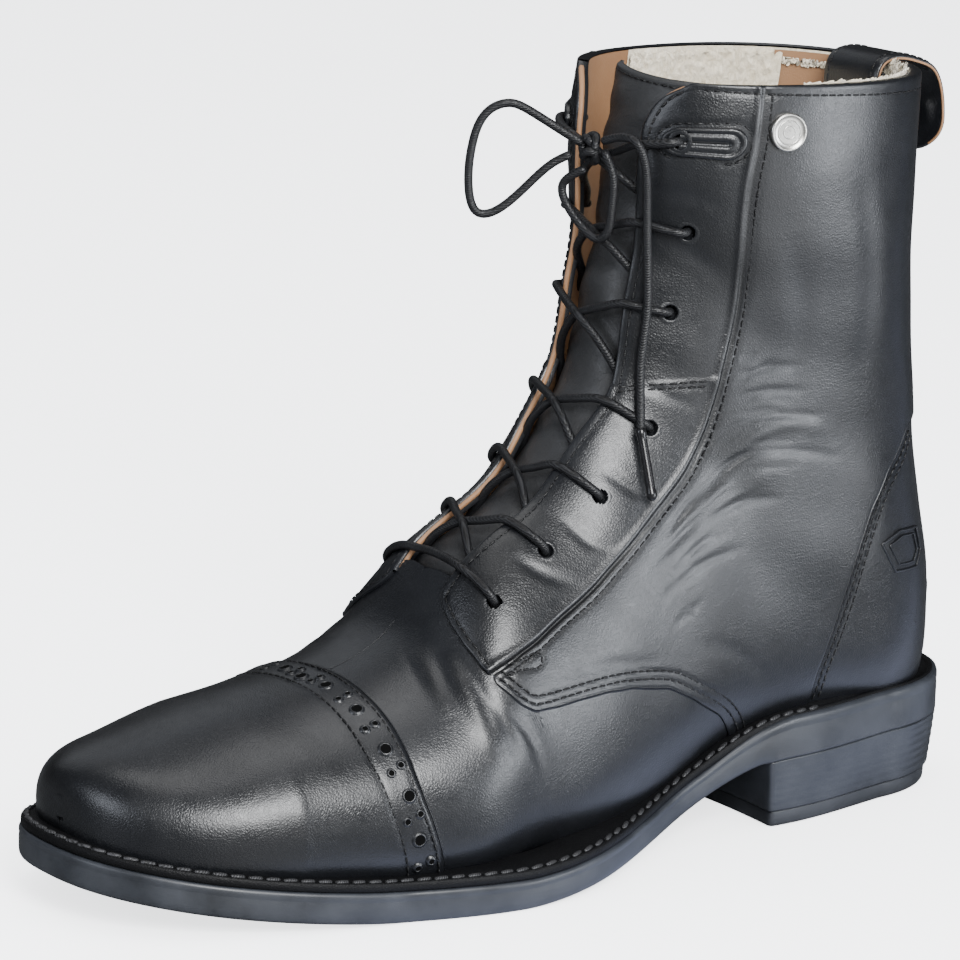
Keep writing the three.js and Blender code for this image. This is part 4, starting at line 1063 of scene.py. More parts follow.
def linings():
    tan, pile = Shell(), Shell()
    rows = np.linspace(60, COLLAR, 110)
    for side in (1, -1):
        front = throat_at(np.maximum(rows, 66))
        inner_sheet(tan, *spread(rows, front, TAN_REACH, 22), side)
        end = full_arc(rows) - slot_half(rows)
        inner_sheet(pile, *spread(rows, TAN_REACH, end, 44), side, -WALL + 0.15)
        patch = np.linspace(COLLAR - 34, COLLAR - 0.4, 16)
        end = full_arc(patch) - slot_half(patch)
        low = 30 * np.sqrt(np.clip((patch - patch[0]) / 16, 0.02, 1))
        inner_sheet(tan, *spread(patch, end - np.minimum(low, 30), end, 14), side, -WALL - 0.35)
        tuft_u = np.linspace(COLLAR - 30, COLLAR + (0.9 if side > 0 else -1.3), 46)
        end = full_arc(COLLAR) - 30.5
        tuft_a = np.linspace(TAN_REACH, end, 90)
        uu, aa = np.meshgrid(tuft_u, tuft_a, indexing="ij")
        fluff = rng.random(uu.shape)
        fluff = (fluff + np.roll(fluff, 1, 0) + np.roll(fluff, 1, 1)) / 3
        rise_ = smooth((uu - COLLAR + 4) / 4)
        inner_sheet(pile, uu + (fluff - 0.4) * 1.6 * rise_, aa, side, -WALL - 1.9 + 1.5 * fluff)
        tuft_a = np.linspace(end, full_arc(COLLAR) - 6, 40)
        uu, aa = np.meshgrid(np.linspace(COLLAR - 3, COLLAR + (0.8 if side > 0 else -2), 8), tuft_a, indexing="ij")
        fluff = rng.random(uu.shape)
        inner_sheet(pile, uu + (fluff - 0.4) * 1.2, aa, side, -WALL - 1.4 + 1.5 * fluff)
        front_rows = np.linspace(-TOE_DEPTH * 0.9, 62, 40)
        inner_sheet(pile, *spread(front_rows, 0, foot(front_rows), 24), side)
        rows_ = np.linspace(70, COLLAR - 3, 150)
        edge, out = on_form(rows_, throat_at(rows_) + (0.3 if side > 0 else -0.45), side)
        tube(tan, edge - out * (0.85 if side > 0 else 0.5), 0.8, 8, up=out)
    tan.make("lining_tan", TAN, "black_leather", ["upper"])
    pile.make("lining_fleece", FLEECE, "black_leather", ["upper"])


# Tongue and laces

def tongue_rise(u):
    return smooth((u - COLLAR * 0.5) / (COLLAR * 0.5))


def tongue():
    shell = Shell()
    top = COLLAR + 3
    rows = np.concatenate([np.linspace(62, top - 3, 150), top - 3 + 3 * np.sin(np.linspace(0.1, 1, 8) * np.pi / 2)])
    half = throat_at(np.clip(rows, 66, COLLAR * 0.95)) + TONGUE_MARGIN
    v = np.linspace(-1, 1, 64)
    shift = TONGUE_SHIFT * tongue_rise(rows)
    off = half[:, None] * v[None] + shift[:, None]
    u = rows[:, None] - 3.2 * tongue_rise(rows)[:, None] ** 6 * v[None]
    deep = -WALL - 1.35 - TONGUE_SINK * tongue_rise(rows) ** 1.3
    p, n = on_form(u, off, 1)
    wave_ = 0.34 * np.sin(u / 5.2 + off / 9) + 0.28 * np.sin(u / 3.1 - off / 5 + 2)
    puff = 0.5 * np.cos(v * np.pi / 2)[None] ** 0.5 - 0.3
    edge = smooth((top - rows[:, None]) / 2.4) + 0 * off
    outer = deep[:, None] - 0.2 + (wave_ * 0.7 + puff) * edge - 1.0 * (1 - edge)
    seam = np.exp(-(((top - 4.2 - rows[:, None]) / 0.6) ** 2))
    shell.grid(p + n * (outer - 0.25 * seam)[..., None], n, tint=0.06)
    shell.grid(p + n * (deep[:, None] - 2.2 + 1.0 * (1 - edge))[..., None], -n)
    for col in (0, -1):
        skins = np.stack([outer[:, col], deep - 2.2])[..., None]
        shell.grid(p[:, col] + n[:, col] * skins, p[:, col] - p[:, 32])
    skins = np.stack([outer[-1], np.full(len(v), deep[-1] - 2.2 + 1.0)])[..., None]
    shell.grid(p[-1] + n[-1] * skins, p[-1] - p[-3])
    shell.make("tongue", SATIN, "satin_leather", ["tongue"], weld=WELD)
    row = np.stack([top - 4.2 - 3.2 * np.linspace(-0.94, 0.94, 40), np.linspace(off[-1, 2], off[-1, -3], 40)], -1)
    q, m = on_form(row[:, 0], row[:, 1], 1)
    level = np.interp(top - 4.2, rows, deep)
    seams.append((q + m * level, m, PITCH))


def lace_skin(k):
    return FACING_LIFT + 1.35 + (1.35 if k == len(EYELETS) - 1 else 0) + (0.35 if k < 4 else 0)


def over_facing(k, edge_u, side):
    """The lace's way from inside the eyelet over the facing to the throat's edge."""
    e_u, e_off = EYELETS[k]
    edge = float(throat_at(edge_u))
    lift = lace_skin(k)
    places = [(0, e_off + 0.2, -3.4), (0, e_off - 0.3, lift - 1.7), (0.12, e_off - 1.6, lift - 0.25),
              (0.5, (e_off + edge) / 2, lift), (1, edge - 0.3, lift - 0.25)]
    return [over_form(e_u + (edge_u - e_u) * part, off, side, skin) for part, off, skin in places]


def laces():
    shell = Shell()
    bar_u = EYELETS[0][0] - 1
    route = over_facing(0, bar_u, 1)
    route += [over_form(bar_u, off, 1, 0.9) for off in (6, 0, -6)]
    route += over_facing(0, bar_u, -1)[::-1]
    tube(shell, curve(route, 0.7), LACE_RADIUS, 14)
    shell.make("lace_bar", LACE, "lace", ["lace_bar"])
    for k in range(len(EYELETS) - 1):
        shell = Shell()
        low_u, hole = EYELETS[k]
        step = EYELETS[k + 1][0] - low_u
        low, high = low_u + 0.22 * step, low_u + 0.82 * step
        edge = float(throat_at(low))
        for side, over in ((1, 0.95), (-1, -0.15)):
            places = [(0, hole + 0.2, side, -2.6), (0.08, (hole + edge) / 2, side, -3.9),
                      (0.22, edge - 2.4, side, -1.5), (0.37, edge * 0.42, side, -0.2 + over * 0.4),
                      (0.52, 0, side, 0.5 + over), (0.67, float(throat_at(high)) * 0.55, -side, 1.0)]
            route = [over_form(low_u + part * step, *place) for part, *place in places]
            route += over_facing(k + 1, high, -side)[::-1]
            tube(shell, curve(route, 0.7), LACE_RADIUS, 14)
        shell.make("lace_crossing_%d" % (k + 1), LACE, "lace", ["lace_crossing_%d" % (k + 1)])


def patch_outline(grow, count=96):
    """Travel and distance from the ridge of a rounded bar round the top eyelet, grown by a margin."""
    u, off = EYELETS[-1]
    t = np.linspace(-np.pi / 2, 1.5 * np.pi, count, endpoint=False)
    a = off + np.where(np.cos(t) > 0, PATCH_REACH, 0) + (5.3 + grow) * np.cos(t)
    v = u + (6.6 + 1.2 * grow) * np.sin(t) + (a - off) * PATCH_SLOPE
    return np.stack([v, a], -1)


# Share of the way from the bar's spine to its edge, height
PATCH_PROFILE = [(1.0, 0.0), (1.0, 0.8), (0.97, 1.15), (0.9, 1.4), (0.8, 1.45), (0.72, 1.35), (0.66, 1.05), (0.6, 0.98),
                 (0.54, 1.1), (0.46, 1.3), (0.34, 1.38), (0.22, 1.3), (0.15, 0.95), (0.1, 0.8), (0.02, 0.8)]


def eyelet_patches():
    u, off = EYELETS[-1]
    for side, name in ((1, "eyelet_patch_outer"), (-1, "eyelet_patch_inner")):
        shell = Shell()
        outline = patch_outline(0.0)
        spine_a = np.clip(outline[:, 1], off, off + PATCH_REACH)
        spine = np.stack([u + (spine_a - off) * PATCH_SLOPE, spine_a], -1)
        loops = []
        for part, high in PATCH_PROFILE:
            at = spine + (outline - spine) * part
            loops.append(over_form(at[:, 0], at[:, 1], side, FACING_LIFT + high))
        loops = np.array(loops)
        closed = np.concatenate([loops, loops[:, :1]], axis=1)
        shell.grid(closed[3:], on_form(u, off + 2.0, side)[1])
        shell.grid(closed[:4], closed[:4] - closed[-1].mean(0))
        centre, normal = on_form(u, off, side)
        centre = centre + normal * (FACING_LIFT + 1.35)
        pts = shell.points[0]
        d = pts[shell.faces[0]].mean(1) - centre
        shell.faces[0] = shell.faces[0][np.linalg.norm(d, axis=1) > 2.45]
        ring_lathe(shell, centre, normal, EYE_RING, tint=0.1)
        shell.make(name, BLACK, "black_leather", [name], weld=WELD)


def badge():
    shell = Shell()
    p, n = on_form(BADGE[0], BADGE[1], 1)
    p = p + n * (QUARTER_LIFT + 0.2)
    profile = [(5.2, -0.3), (5.2, 0.9), (5.0, 1.25), (4.7, 1.35), (4.45, 1.3), (4.25, 1.05), (3.2, 1.08), (1.6, 1.14),
               (0.05, 1.16)]
    ring_lathe(shell, p, n, profile, 48)
    for ring_r, h in ((3.2, 1.12), (1.7, 1.16)):
        bead = [(ring_r + out, h + up) for out, up in ((0.22, -0.1), (0.1, 0.08), (-0.1, 0.08), (-0.22, -0.1))]
        ring_lathe(shell, p, n, bead, 40)
    shell.make("side_badge", BADGE_METAL, "badge_metal", ["side_badge"])


# Stitches

seams = []


def stitches(rows, name, material, slot_name, radius=0.3, fill=0.78, lift=-0.1, slant=0.0, wide=1.0):
    """Short rounded stitches along rows of points with normals; each row has its own pitch."""
    ring = np.arange(6) * np.pi / 3
    template = []
    for x, r in ((-0.5, 0.3), (-0.42, 0.8), (0.0, 1.0), (0.42, 0.8), (0.5, 0.3)):
        template += [(x, math.cos(a) * r * wide, math.sin(a) * r) for a in ring]
    template = np.array(template)
    quads = [[6 * i + j, 6 * i + (j + 1) % 6, 6 * i + 6 + (j + 1) % 6, 6 * i + 6 + j]
             for i in range(4) for j in range(6)]
    shell = Shell()
    for path, normals, pitch in rows:
        run = run_along(path)
        count = int(run[-1] / pitch)
        if count < 1:
            continue
        at = (np.arange(count) + 0.5) * run[-1] / count
        p, n = sampled(at, run, path), unit(sampled(at, run, normals))
        t = unit(sampled(at + 0.4, run, path) - sampled(at - 0.4, run, path))
        side = np.cross(n, t)
        if slant:
            t, side = t * math.cos(slant) + side * math.sin(slant), side * math.cos(slant) - t * math.sin(slant)
        long = run[-1] / count * fill
        local = template * [1, radius, radius]
        points = (p[:, None] + n[:, None] * lift + local[None, :, 0, None] * long * t[:, None]
                  + local[None, :, 1, None] * side[:, None] + local[None, :, 2, None] * n[:, None])
        base = shell.count + np.arange(count)[:, None, None] * len(template)
        shell.points.append(points.reshape(-1, 3))
        shell.tints.append(np.zeros(points.shape[0] * points.shape[1]))
        shell.faces.append((np.array(quads)[None] + base).reshape(-1, 4)[:, ::-1])
        ends = np.array([[5, 4, 3, 2, 1, 0], [24, 25, 26, 27, 28, 29]])
        shell.faces.append((ends[None] + base).reshape(-1, 6)[:, ::-1])
        shell.count += points.shape[0] * points.shape[1]
    return shell.make(name, material, slot_name)


def seam_row(table, side, skin, pitch, shift):
    """A row of stitches along a table of surface places, moved sideways on the surface by shift."""
    uv = curve(table, 0.6)
    if shift:
        t = unit(np.gradient(uv, axis=0))
        uv = uv + np.stack([-t[:, 1], t[:, 0]], -1) * shift
    p, n = on_form(uv[:, 0], uv[:, 1], side)
    level = skin(uv[:, 0], uv[:, 1]) if callable(skin) else np.full(len(p), float(skin))
    GROOVES.append(p)
    seams.append((p + n * level[:, None], n, pitch))


def all_seams():
    """Rows of stitches: table of places, surface, shifts sideways, pitch."""
    rows = [
        ([(u, float(throat_at(u)) + 2.0) for u in np.linspace(67, 312, 60)], quarter_skin),
        ([(float(flap_front_at(a)) + 1.9, a) for a in np.linspace(13, 36, 16)], FLAP_LIFT),
        *(([(float(flap_top_at(a)) + extra - 1.2, a) for a in np.linspace(17, 44, 18)], FLAP_LIFT - 0.1)
          for extra in (0.0, -2.2)),
        ([(u, float(big_seam_at(u))) for u in np.linspace(66, COLLAR - 2, 70)], FACING_LIFT - 0.05, (2.7,)),
        ([place for place in WING if place[0] > 62], QUARTER_LIFT, (-1.7, -3.6)),
        ([(71.4, 39.8), (77.5, 42.0), (83.3, 44.1), (82.3, 46.5), (76.0, 44.2), (69.8, 42.0)], QUARTER_LIFT, (0,), 2.1),
        (patch_outline(1.5, 40)[:-1], FACING_LIFT),
        ([place for place in HEEL_SEAM if 160 < place[0] < 246], QUARTER_LIFT, (1.7, 3.9)),
        ([(COLLAR - 2.4, a) for a in np.linspace(29, float(full_arc(COLLAR)) - 6, 24)], quarter_skin),
        ([(u, a) for a, u in CAP_EDGE if a < 90], CAP_LIFT - 0.05, (1.5,)),
        ([(u, a) for a, u in CAP_LINE if a < 90], CAP_LIFT),
    ]
    for side in (1, -1):
        for table, skin, *rest in rows:
            for shift in rest[0] if rest else (0,):
                seam_row(table, side, skin, rest[1] if len(rest) > 1 else PITCH, shift)


# Sole

def plan_loop(inset):
    """Closed outline of the sole from above, moved inwards; x grows on the outer side and falls on the inner."""
    x = LENGTH * (0.5 - 0.5 * np.cos(np.linspace(0, np.pi, 151)))
    half, centre = sole_half(x), sole_centre(x)
    outer = np.stack([x, centre + half], -1)
    inner = np.stack([x, centre - half], -1)[::-1]
    loop = np.concatenate([outer, inner[1:-1]])
    tangent = unit(np.roll(loop, -1, 0) - np.roll(loop, 1, 0))
    normal = np.stack([tangent[:, 1], -tangent[:, 0]], -1)
    return loop + normal * inset, loop[:, 0]


def edge_top(x):
    """Top of the sole's side: up to the rand round the heel, under the welt in front."""
    return sole_top(x) + np.maximum(welt_thick(x) - WELT_THIN, 0) / 2.0 * 3.9


def outsole():
    shell = Shell()
    rings = []
    fade = lambda x: smooth((x - HEEL_LENGTH) / 3)
    for inset, part in ((3.0, 0.0), (1.1, 0.0), (0.45, 0.05), (0.1, 0.14), (0.0, 0.3), (0.0, 0.62), (0.12, 0.7),
                        (0.12, 0.74), (0.0, 0.8), (0.05, 0.9), (0.35, 0.98), (1.0, 1.0), (9.0, 1.0)):
        if part < 0.2:
            loop, x = plan_loop(0.0)
            inner_loop, _ = plan_loop(inset)
            loop = loop + (inner_loop - loop) * np.maximum(fade(x), float(inset >= 3))[:, None]
        else:
            loop, x = plan_loop(inset)
        rings.append(np.column_stack([loop, sole_bottom(x) + (edge_top(x) - sole_bottom(x)) * part]))
    shell.loft(rings, ends=False)
    loop, _ = plan_loop(3.0)
    n = len(loop) // 2
    outer, inner = loop[:n + 1], np.concatenate([loop[:1], loop[n:][::-1]])
    rows = np.stack([outer[:, None] * (1 - k) + inner[:len(outer), None] * k for k in np.linspace(0, 1, 9)], 1)[:, :, 0]
    floor_grid = np.concatenate([rows, sole_bottom(rows[..., :1])], -1)
    shell.grid(floor_grid, (0, 0, -1.0))
    shell.make("outsole", SOLE, "sole_rubber", ["outsole"], weld=0.01)


def welt():
    shell = Shell()
    rings = []
    for inset, part in ((3.0, 0.02), (0.9, 0.02), (0.55, 0.15), (0.5, 0.5), (0.6, 0.8), (0.9, 0.97), (1.25, 1.0),
                        (1.7, 0.92), (2.7, 0.92), (3.2, 1.0), (4.6, 1.04), (8.5, 1.1), (12.5, 1.15)):
        loop, x = plan_loop(inset)
        deeper, _ = plan_loop(inset + 0.75)
        at_heel = np.clip((welt_thick(x) - WELT_THIN) / 2.0, 0, 1)[:, None]
        rings.append(np.column_stack([loop + (deeper - loop) * at_heel, sole_top(x) + welt_thick(x) * part]))
    shell.loft(rings, ends=False)
    shell.make("welt", WELT, "welt_leather", ["welt"], weld=0.01)
    loop, x = plan_loop(2.0)
    path = np.column_stack([loop, welt_top(x) + 0.05])[x > 62]
    run = np.linalg.norm(np.diff(path, axis=0), axis=1)
    fine = curve(path[np.concatenate([[True], run > 0.02])][::2], 0.6)
    normals = np.broadcast_to([0, 0, 1.0], fine.shape)
    stitches([(fine, normals, 4.6)], "welt_stitches", WELT_THREAD, "welt_leather", 0.6, 0.86, 0.0, 0.22, 1.3)


def heel_loop(inset):
    """Heel's outline from above: the sole's back and a slightly hollow front with rounded corners."""
    turn = 1.4
    x_end = HEEL_LENGTH - inset
    x = (x_end - turn) * np.sin(np.linspace(0, 1, 90) * np.pi / 2) ** 2
    half, centre = sole_half(x), sole_centre(x)
    bend = np.linspace(0, np.pi / 2, 7)[1:]
    sides, corners = [], []
    for side in (1, -1):
        edge = np.stack([x, centre + side * half], -1)
        tangent = unit(np.gradient(edge, axis=0))
        tangent[0] = (0, side)
        edge = edge + side * np.stack([tangent[:, 1], -tangent[:, 0]], -1) * inset
        corner = edge[-1, 1]
        corners.append([(x_end - turn * (1 - math.sin(b)), corner - side * turn * (1 - math.cos(b))) for b in bend])
        sides.append(edge)
    outer, inner = sides
    top, low = outer[-1, 1] - turn, inner[-1, 1] + turn
    w = np.linspace(-1, 1, 22)[1:-1]
    breast = [(x_end - 1.6 * (1 - v * v), top * (1 - v) / 2 + low * (1 + v) / 2) for v in w]
    return np.concatenate([outer, corners[0], breast, corners[1][::-1], inner[::-1][:-1]])


def heel():
    block, lift = Shell(), Shell()
    levels, steps = [], 7
    for k in range(steps):
        a, b = k / steps, (k + 1) / steps
        levels += [(a + 0.015, 0.3), (a + 0.04, 0.06), ((a + b) / 2, 0.0), (b - 0.04, 0.06), (b - 0.015, 0.3)]
    rings = []
    for part, groove in levels:
        inset = 0.04 + HEEL_TAPER * 0.9 * (1 - part) ** 1.2
        loop, cut = heel_loop(inset), heel_loop(inset + groove)
        loop = loop + (cut - loop) * (0.08 + 0.92 * smooth((30 - loop[:, :1]) / 22))
        top = sole_bottom(loop[:, 0])
        rings.append(np.column_stack([loop, LIFT_HEIGHT + 0.05 + (top - LIFT_HEIGHT - 0.05) * part]))
    block.loft(rings)
    block.make("heel", SOLE, "heel_stack", ["heel"])
    rings = []
    for z, groove in ((0.0, 1.0), (0.25, 0.35), (0.7, 0.05), (1.2, 0.0), (LIFT_HEIGHT - 0.5, 0.0),
                      (LIFT_HEIGHT - 0.15, 0.1), (LIFT_HEIGHT, 0.4)):
        loop = heel_loop(HEEL_INSET + HEEL_TAPER - 0.25 * z / LIFT_HEIGHT + groove)
        rings.append(np.column_stack([loop, np.full(len(loop), z)]))
    lift.loft(rings)
    lift.make("heel_lift", LIFT, "lift_rubber", ["heel_lift"])


# Back of the boot

TAB_PATH = [(0.1222, 0.905), (0.1215, 0.952), (0.1185, 0.984), (0.107, 1.0005), (0.0833, 1.0035), (0.0625, 0.997),
            (0.0417, 0.9845), (0.029, 0.957), (0.024, 0.92), (0.025, 0.886), (0.031, 0.862)]


def back_tab():
    shell = Shell()
    raw = [(x * LENGTH, 0.0, z * SHAFT_HEIGHT) for x, z in TAB_PATH]
    path = curve(raw, 0.8)
    t = unit(np.gradient(path, axis=0))
    out = np.stack([-t[:, 2], np.zeros(len(t)), t[:, 0]], -1)
    if out[len(out) // 2, 2] < 0:
        out = -out
    run = run_along(path)
    left = np.minimum(run[-1] - run, TAB_HALF)
    half = np.sqrt(np.maximum(TAB_HALF**2 - (TAB_HALF - left) ** 2, 1.5))
    phi = np.arange(40) * 2 * np.pi / 40
    flat_c = np.sign(np.cos(phi)) * np.abs(np.cos(phi)) ** 0.35
    flat_s = np.sign(np.sin(phi)) * np.abs(np.sin(phi)) ** 0.6
    ring = ((path - out * 1.1)[:, None] + np.array([0, 1.0, 0]) * (flat_c[None] * half[:, None])[..., None]
            + out[:, None] * (flat_s * 1.05)[None, :, None])
    shell.loft(ring, tint=0.1)
    shell.make("back_tab", BLACK, "black_leather", ["back_tab"])
    piping = Shell()
    for side in (1, -1):
        edge = path - out * 1.45 + np.array([0, side * 1.0, 0]) * (half[:, None] - 0.05)
        tube(piping, edge[2:-3], 0.34, 8, up=out[2:-3])
    piping.make("back_tab_edge", TAN, "black_leather")
    for side in (1, -1):
        keep = run < run[-1] - 8
        row = path[keep] + np.array([0, side * TAB_ROW, 0])
        seams.append((row + out[keep] * -0.05, out[keep], PITCH))
    bend = np.linspace(-np.pi / 2, np.pi / 2, 30)
    at = np.argmin(np.abs(run - (run[-1] - 9)))
    reach = run[at] + 7.2 * np.cos(bend)
    arc, normals = sampled(reach, run, path), sampled(reach, run, out)
    arc[:, 1] = TAB_ROW * np.sin(bend)
    seams.append((arc - normals * 0.05, normals, PITCH))


def stud():
    shell = Shell()
    low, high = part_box("tab_stud")
    centre = np.array([(low[0] + high[0]) / 2 / MM + HEEL_CENTRE, 0, (low[2] + high[2]) / 2 / MM])
    depth = (high[0] - low[0]) / MM
    normal = np.array([-1.0, 0, 0])
    base = centre - normal * depth / 2
    profile = [(0.4, 0), (4.5, 0), (4.5, depth * 0.35), (4.3, depth * 0.55), (3.7, depth * 0.72), (3.3, depth * 0.66),
               (2.9, depth * 0.75), (2.0, depth * 0.95), (1.0, depth * 0.99), (0.05, depth)]
    ring_lathe(shell, base, normal, profile, 48)
    shell.make("tab_stud", STUD_METAL, "stud_metal", ["tab_stud"])


def spur_rest():
    shell = Shell()
    span = np.linspace(150, 240, 200)
    z = np.linspace(41.5, 58, 30)
    rows = np.interp(z, back_height(span), span)
    d = np.linspace(-17, 17, 61)
    u = np.broadcast_to(rows[:, None], (len(rows), len(d)))
    off = full_arc(u) - np.abs(d)[None]
    left, n_left = on_form(u, off, 1)
    right, n_right = on_form(u, off, -1)
    pick = (d >= 0)[None, :, None]
    p, n = np.where(pick, left, right), np.where(pick, n_left, n_right)
    t = (z - z[0]) / (z[-1] - z[0])
    hump = 0.25 + 0.75 * np.sin(np.clip(t * 1.15, 0, 1) * np.pi / 2) ** 1.5
    ends = (np.sqrt(np.clip(1 - np.abs(2 * t - 1) ** 10, 0, 1))[:, None]
            * np.sqrt(np.clip(1 - np.abs(d / 17) ** 12, 0, 1))[None])
    skin = 0.1 + 2.5 * hump[:, None] * ends
    shell.grid(p + n * skin[..., None], n, tint=0.1)
    shell.make("spur_rest", BLACK, "black_leather", ["spur_rest"])


def zip_teeth():
    shell = Shell()
    rows = np.arange(ZIP_FOOT + 6, SHAFT_HEIGHT - 6, 1.7)
    span = np.linspace(180, COLLAR, 400)
    heights = back_height(span)
    for k, z in enumerate(rows):
        u = float(np.interp(z, heights, span))
        side = 1 if k % 2 else -1
        p, n = on_form(u, float(full_arc(u)) - 0.02, 1)
        p = p - n * (WALL + 0.9)
        y = np.array([0, 1.0, 0])
        along = np.cross(n, y)
        tube(shell, np.array([p + y * side * (0.9 - s) for s in np.linspace(-1.1, 1.4, 5)]), 0.62, 8,
             up=np.repeat(n[None], 5, 0), flat=1.2)
    shell.make("zip_teeth", TEETH, "dark_metal")


def emblem():
    """Plain raised six-cornered outline on the heel panel, with no sign in it."""
    outline = [(205.3, 125.5), (212.5, 132.0), (218.2, 141.7), (214.5, 147.5), (209.5, 146.0), (203.3, 135.6)]
    shell = Shell()
    middle = np.mean(outline, 0)
    for scale in (1.0, 0.7):
        corners = [middle + (np.array(c) - middle) * scale for c in outline]
        fine = []
        for c, d in zip(corners, corners[1:] + corners[:1]):
            fine += [c + (d - c) * k for k in np.linspace(0, 1, 14)[:-1]]
        fine = np.array(fine + fine[:2])
        for side in (1, -1):
            p, n = on_form(fine[:, 0], fine[:, 1], side)
            radius = 0.42 if scale == 1.0 else 0.3
            tube(shell, p + n * (VAMP_LIFT + 0.1), radius, 8, up=n, flat=0.9, caps=False, tint=0.2)
    return shell.make("heel_emblem", BLACK, "black_leather")


BROGUE_LARGE = [(23.8, 0.0), (25.0, 9.4), (25.4, 22.9), (25.8, 37.2), (27.8, 50.5), (29.8, 62.6), (33.4, 77.0)]
BROGUE_SMALL = [(23.6, 4.6), (26.4, 4.4), (23.8, 17.0), (26.8, 16.5), (23.8, 29.8), (26.8, 29.5), (24.8, 43.5),
                (27.8, 42.6), (26.6, 56.5), (30.1, 56.0), (30.2, 70.4), (33.5, 70.0)]


def perforations():
    """Punched holes of the cap between its two seams; a flat black disc in each paints the shade inside the hole, with
    a raised rim round it.
    """
    shell, ring = Shell(), Shell()
    spots = [(u, a, 1.45) for u, a in BROGUE_LARGE] + [(u, a, 0.78) for u, a in BROGUE_SMALL]
    for side in (1, -1):
        for u, off, r in spots:
            if off == 0 and side < 0:
                continue
            p, n = on_form(u, off, side)
            p = p + n * CAP_LIFT
            # Painted shade: a flat black disc over each hole stands in for the shade inside it
            ring_lathe(shell, p, n, [(r, 0.34), (0.02, 0.34)], 20)
            rise = [(0.8, -0.15), (0.5, 0.2), (0.2, 0.44), (0, 0.46), (-0.08, 0.3)]
            ring_lathe(ring, p, n, [(r + out, high) for out, high in rise], 20, tint=0.1)
    shell.make("brogue_hole_shade", HOLE_SHADE, "black_leather")
    ring.make("brogue_rims", BLACK, "black_leather")


# Light and floor

# Name, place, target, size, power, colour
SOFTBOXES = [
    ("key_box", (0.47, 1.15, 0.9), (0.05, 0, 0.07), (0.65, 0.6), 46, (0.98, 0.99, 1)),
    ("side_box", (-0.55, 0.98, 0.2), (0.0, 0, 0.09), (0.42, 0.42), 10, (0.9, 0.94, 1)),
    ("far_box", (0.0, -1.35, 0.95), (0.1, 0, 0.05), (1.2, 0.7), 1.9, (0.9, 0.94, 1)),
    ("front_box", (1.5, -0.1, 0.6), (0.1, 0, 0.04), (0.5, 0.5), 7, (0.85, 0.9, 1)),
    ("top_box", (0.0, -0.2, 1.6), (0.05, 0, 0), (1.0, 1.0), 9, (1, 1, 1)),
]
WORLD_GLOSSY = 0.035
WORLD_CAMERA = 4.2
WORLD_OTHER = 2.0
FLOOR_GLOW = 2.2


def softbox(name, place, target, size, power, color):
    data = bpy.data.lights.new(name, "AREA")
    data.shape = "RECTANGLE"
    data.size, data.size_y = size
    data.energy = power
    data.color = color
    lamp = add_object(name, data)
    place, target = Vector(place), Vector(target)
    lamp.matrix_world = Matrix.Translation(place) @ (place - target).to_track_quat("Z", "Y").to_matrix().to_4x4()


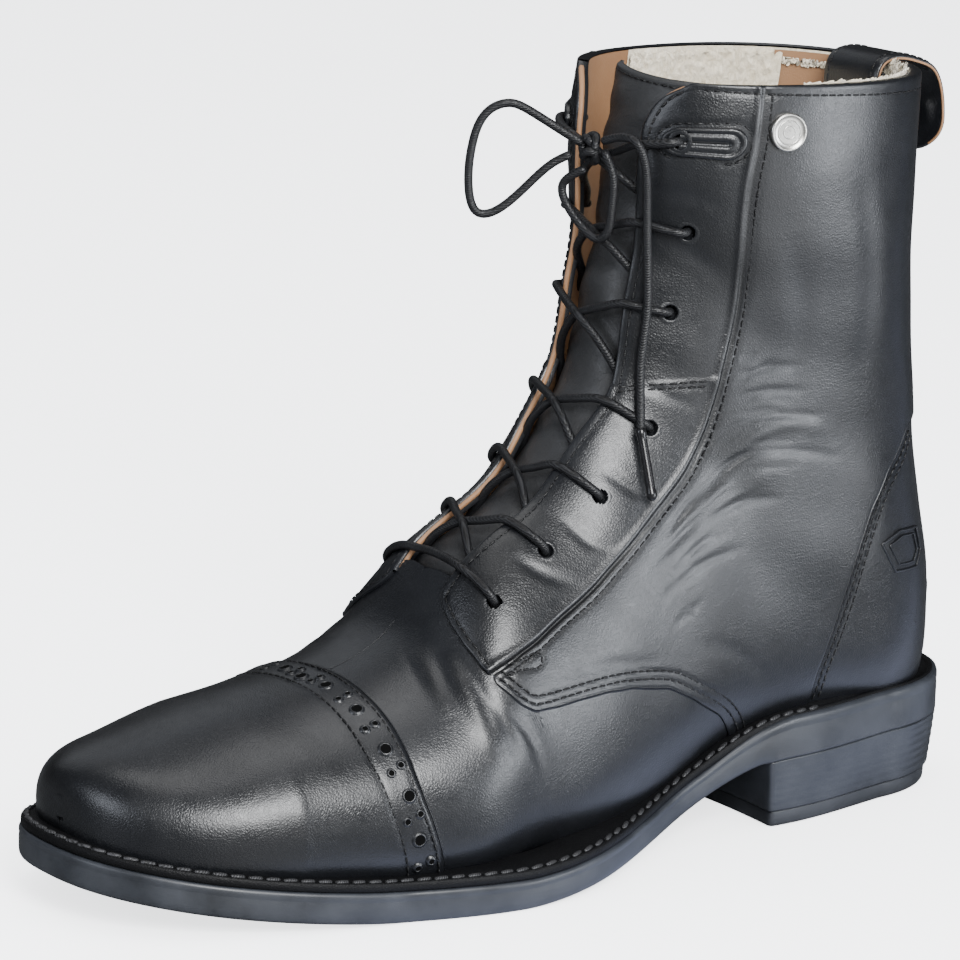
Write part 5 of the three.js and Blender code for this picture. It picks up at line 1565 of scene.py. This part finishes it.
def studio():
    world = bpy.data.worlds.new("studio")
    bpy.context.scene.world = world
    world.use_nodes = True
    background = world.node_tree.nodes["Background"]
    background.inputs[0].default_value = (0.95, 0.97, 1.0, 1)
    tree = world.node_tree
    rays = tree.nodes.new("ShaderNodeLightPath")
    below = None
    for ray, value in (("Is Glossy Ray", WORLD_GLOSSY), ("Is Camera Ray", WORLD_CAMERA)):
        mix = tree.nodes.new("ShaderNodeMix")
        mix.inputs["A"].default_value = WORLD_OTHER
        mix.inputs["B"].default_value = value
        tree.links.new(rays.outputs[ray], mix.inputs["Factor"])
        if below:
            tree.links.new(below, mix.inputs["A"])
        below = mix.outputs["Result"]
    tree.links.new(below, background.inputs[1])
    for lamp in SOFTBOXES:
        softbox(*lamp)
    floor_mesh = bpy.data.meshes.new("floor")
    floor_mesh.from_pydata([(-6, -6, 0), (6, -6, 0), (6, 6, 0), (-6, 6, 0)], [], [(0, 1, 2, 3)])
    floor = add_object("floor", floor_mesh)
    # Pale floor that glows evenly to the camera; to glossy rays its colour is painted reflection: near black, with a
    # pale patch and a bluish band near the boot
    n = Nodes("pale_floor_painted_reflections")
    rays = n.add("ShaderNodeLightPath").outputs
    split = n.add("ShaderNodeSeparateXYZ")
    n.put(split.inputs[0], n.place)
    x, y = split.outputs["X"], split.outputs["Y"]
    along = n.math("ADD", n.math("MULTIPLY", x, -0.93), n.math("MULTIPLY", y, 0.36))
    across = n.math("ADD", n.math("MULTIPLY", x, 0.36), n.math("MULTIPLY", y, 0.93))
    pale_reflection_patch = n.math("MULTIPLY", n.span(along, -0.04, 0.16, 0, 1), n.span(across, 0.2, 0.34, 0, 1))
    bluish_reflection_band = n.math("MULTIPLY", n.span(y, 0.062, 0.09, 1, 0), n.span(x, 0.17, 0.22, 1, 0))
    bluish_reflection_band = n.math("MULTIPLY", bluish_reflection_band, n.span(y, 0.03, 0.045, 0, 1))
    dark_reflection_share = n.math("MULTIPLY", rays["Is Glossy Ray"], n.math("SUBTRACT", 0.94, n.math("MULTIPLY", pale_reflection_patch, 0.85)))
    # Painted reflection colour: near black, bluish in the band near the boot
    dark = n.mix(bluish_reflection_band, (0.0, 0.002, 0.004), (0.42, 0.47, 0.66))
    color = n.mix(dark_reflection_share, (0.9, 0.905, 0.915), dark)
    material = n.finish(color, n.span(n.noise(3), 0.3, 0.7, 0.5, 0.56))
    glow = n.shader.inputs
    glow["Emission Color"].default_value = (0.97, 0.98, 1, 1)
    n.put(glow["Emission Strength"], n.math("MULTIPLY", rays["Is Camera Ray"], FLOOR_GLOW))
    floor_mesh.materials.append(material)


def shown_nodes():
    for node, material, slot_name in (("insole", FLEECE, "insole_felt"), ("zip", TAPE, "zip_tape"),
                                      ("zip_slider", DARK_METAL, "dark_metal")):
        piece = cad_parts[node]
        piece.data.materials.clear()
        piece.data.materials.append(material)
        if node == "zip_slider":
            modifier = piece.modifiers.new("bevel", "BEVEL")
            modifier.width = 0.5 * MM
            modifier.segments = 3
            modifier.angle_limit = math.radians(35)


# The seams come first, since the panels' surfaces sink along them
photo_camera()
knot_and_ends()
all_seams()
tongue()
back_tab()
vamp()
toe_cap()
quarter(1, 0.9)
quarter(-1, 1.5)
heel_panel()
linings()
laces()
eyelet_patches()
badge()
emblem()
perforations()
outsole()
welt()
heel()
stud()
spur_rest()
zip_teeth()
shown_nodes()
stitches(seams, "seam_stitches", STITCH, "black_leather")
studio()
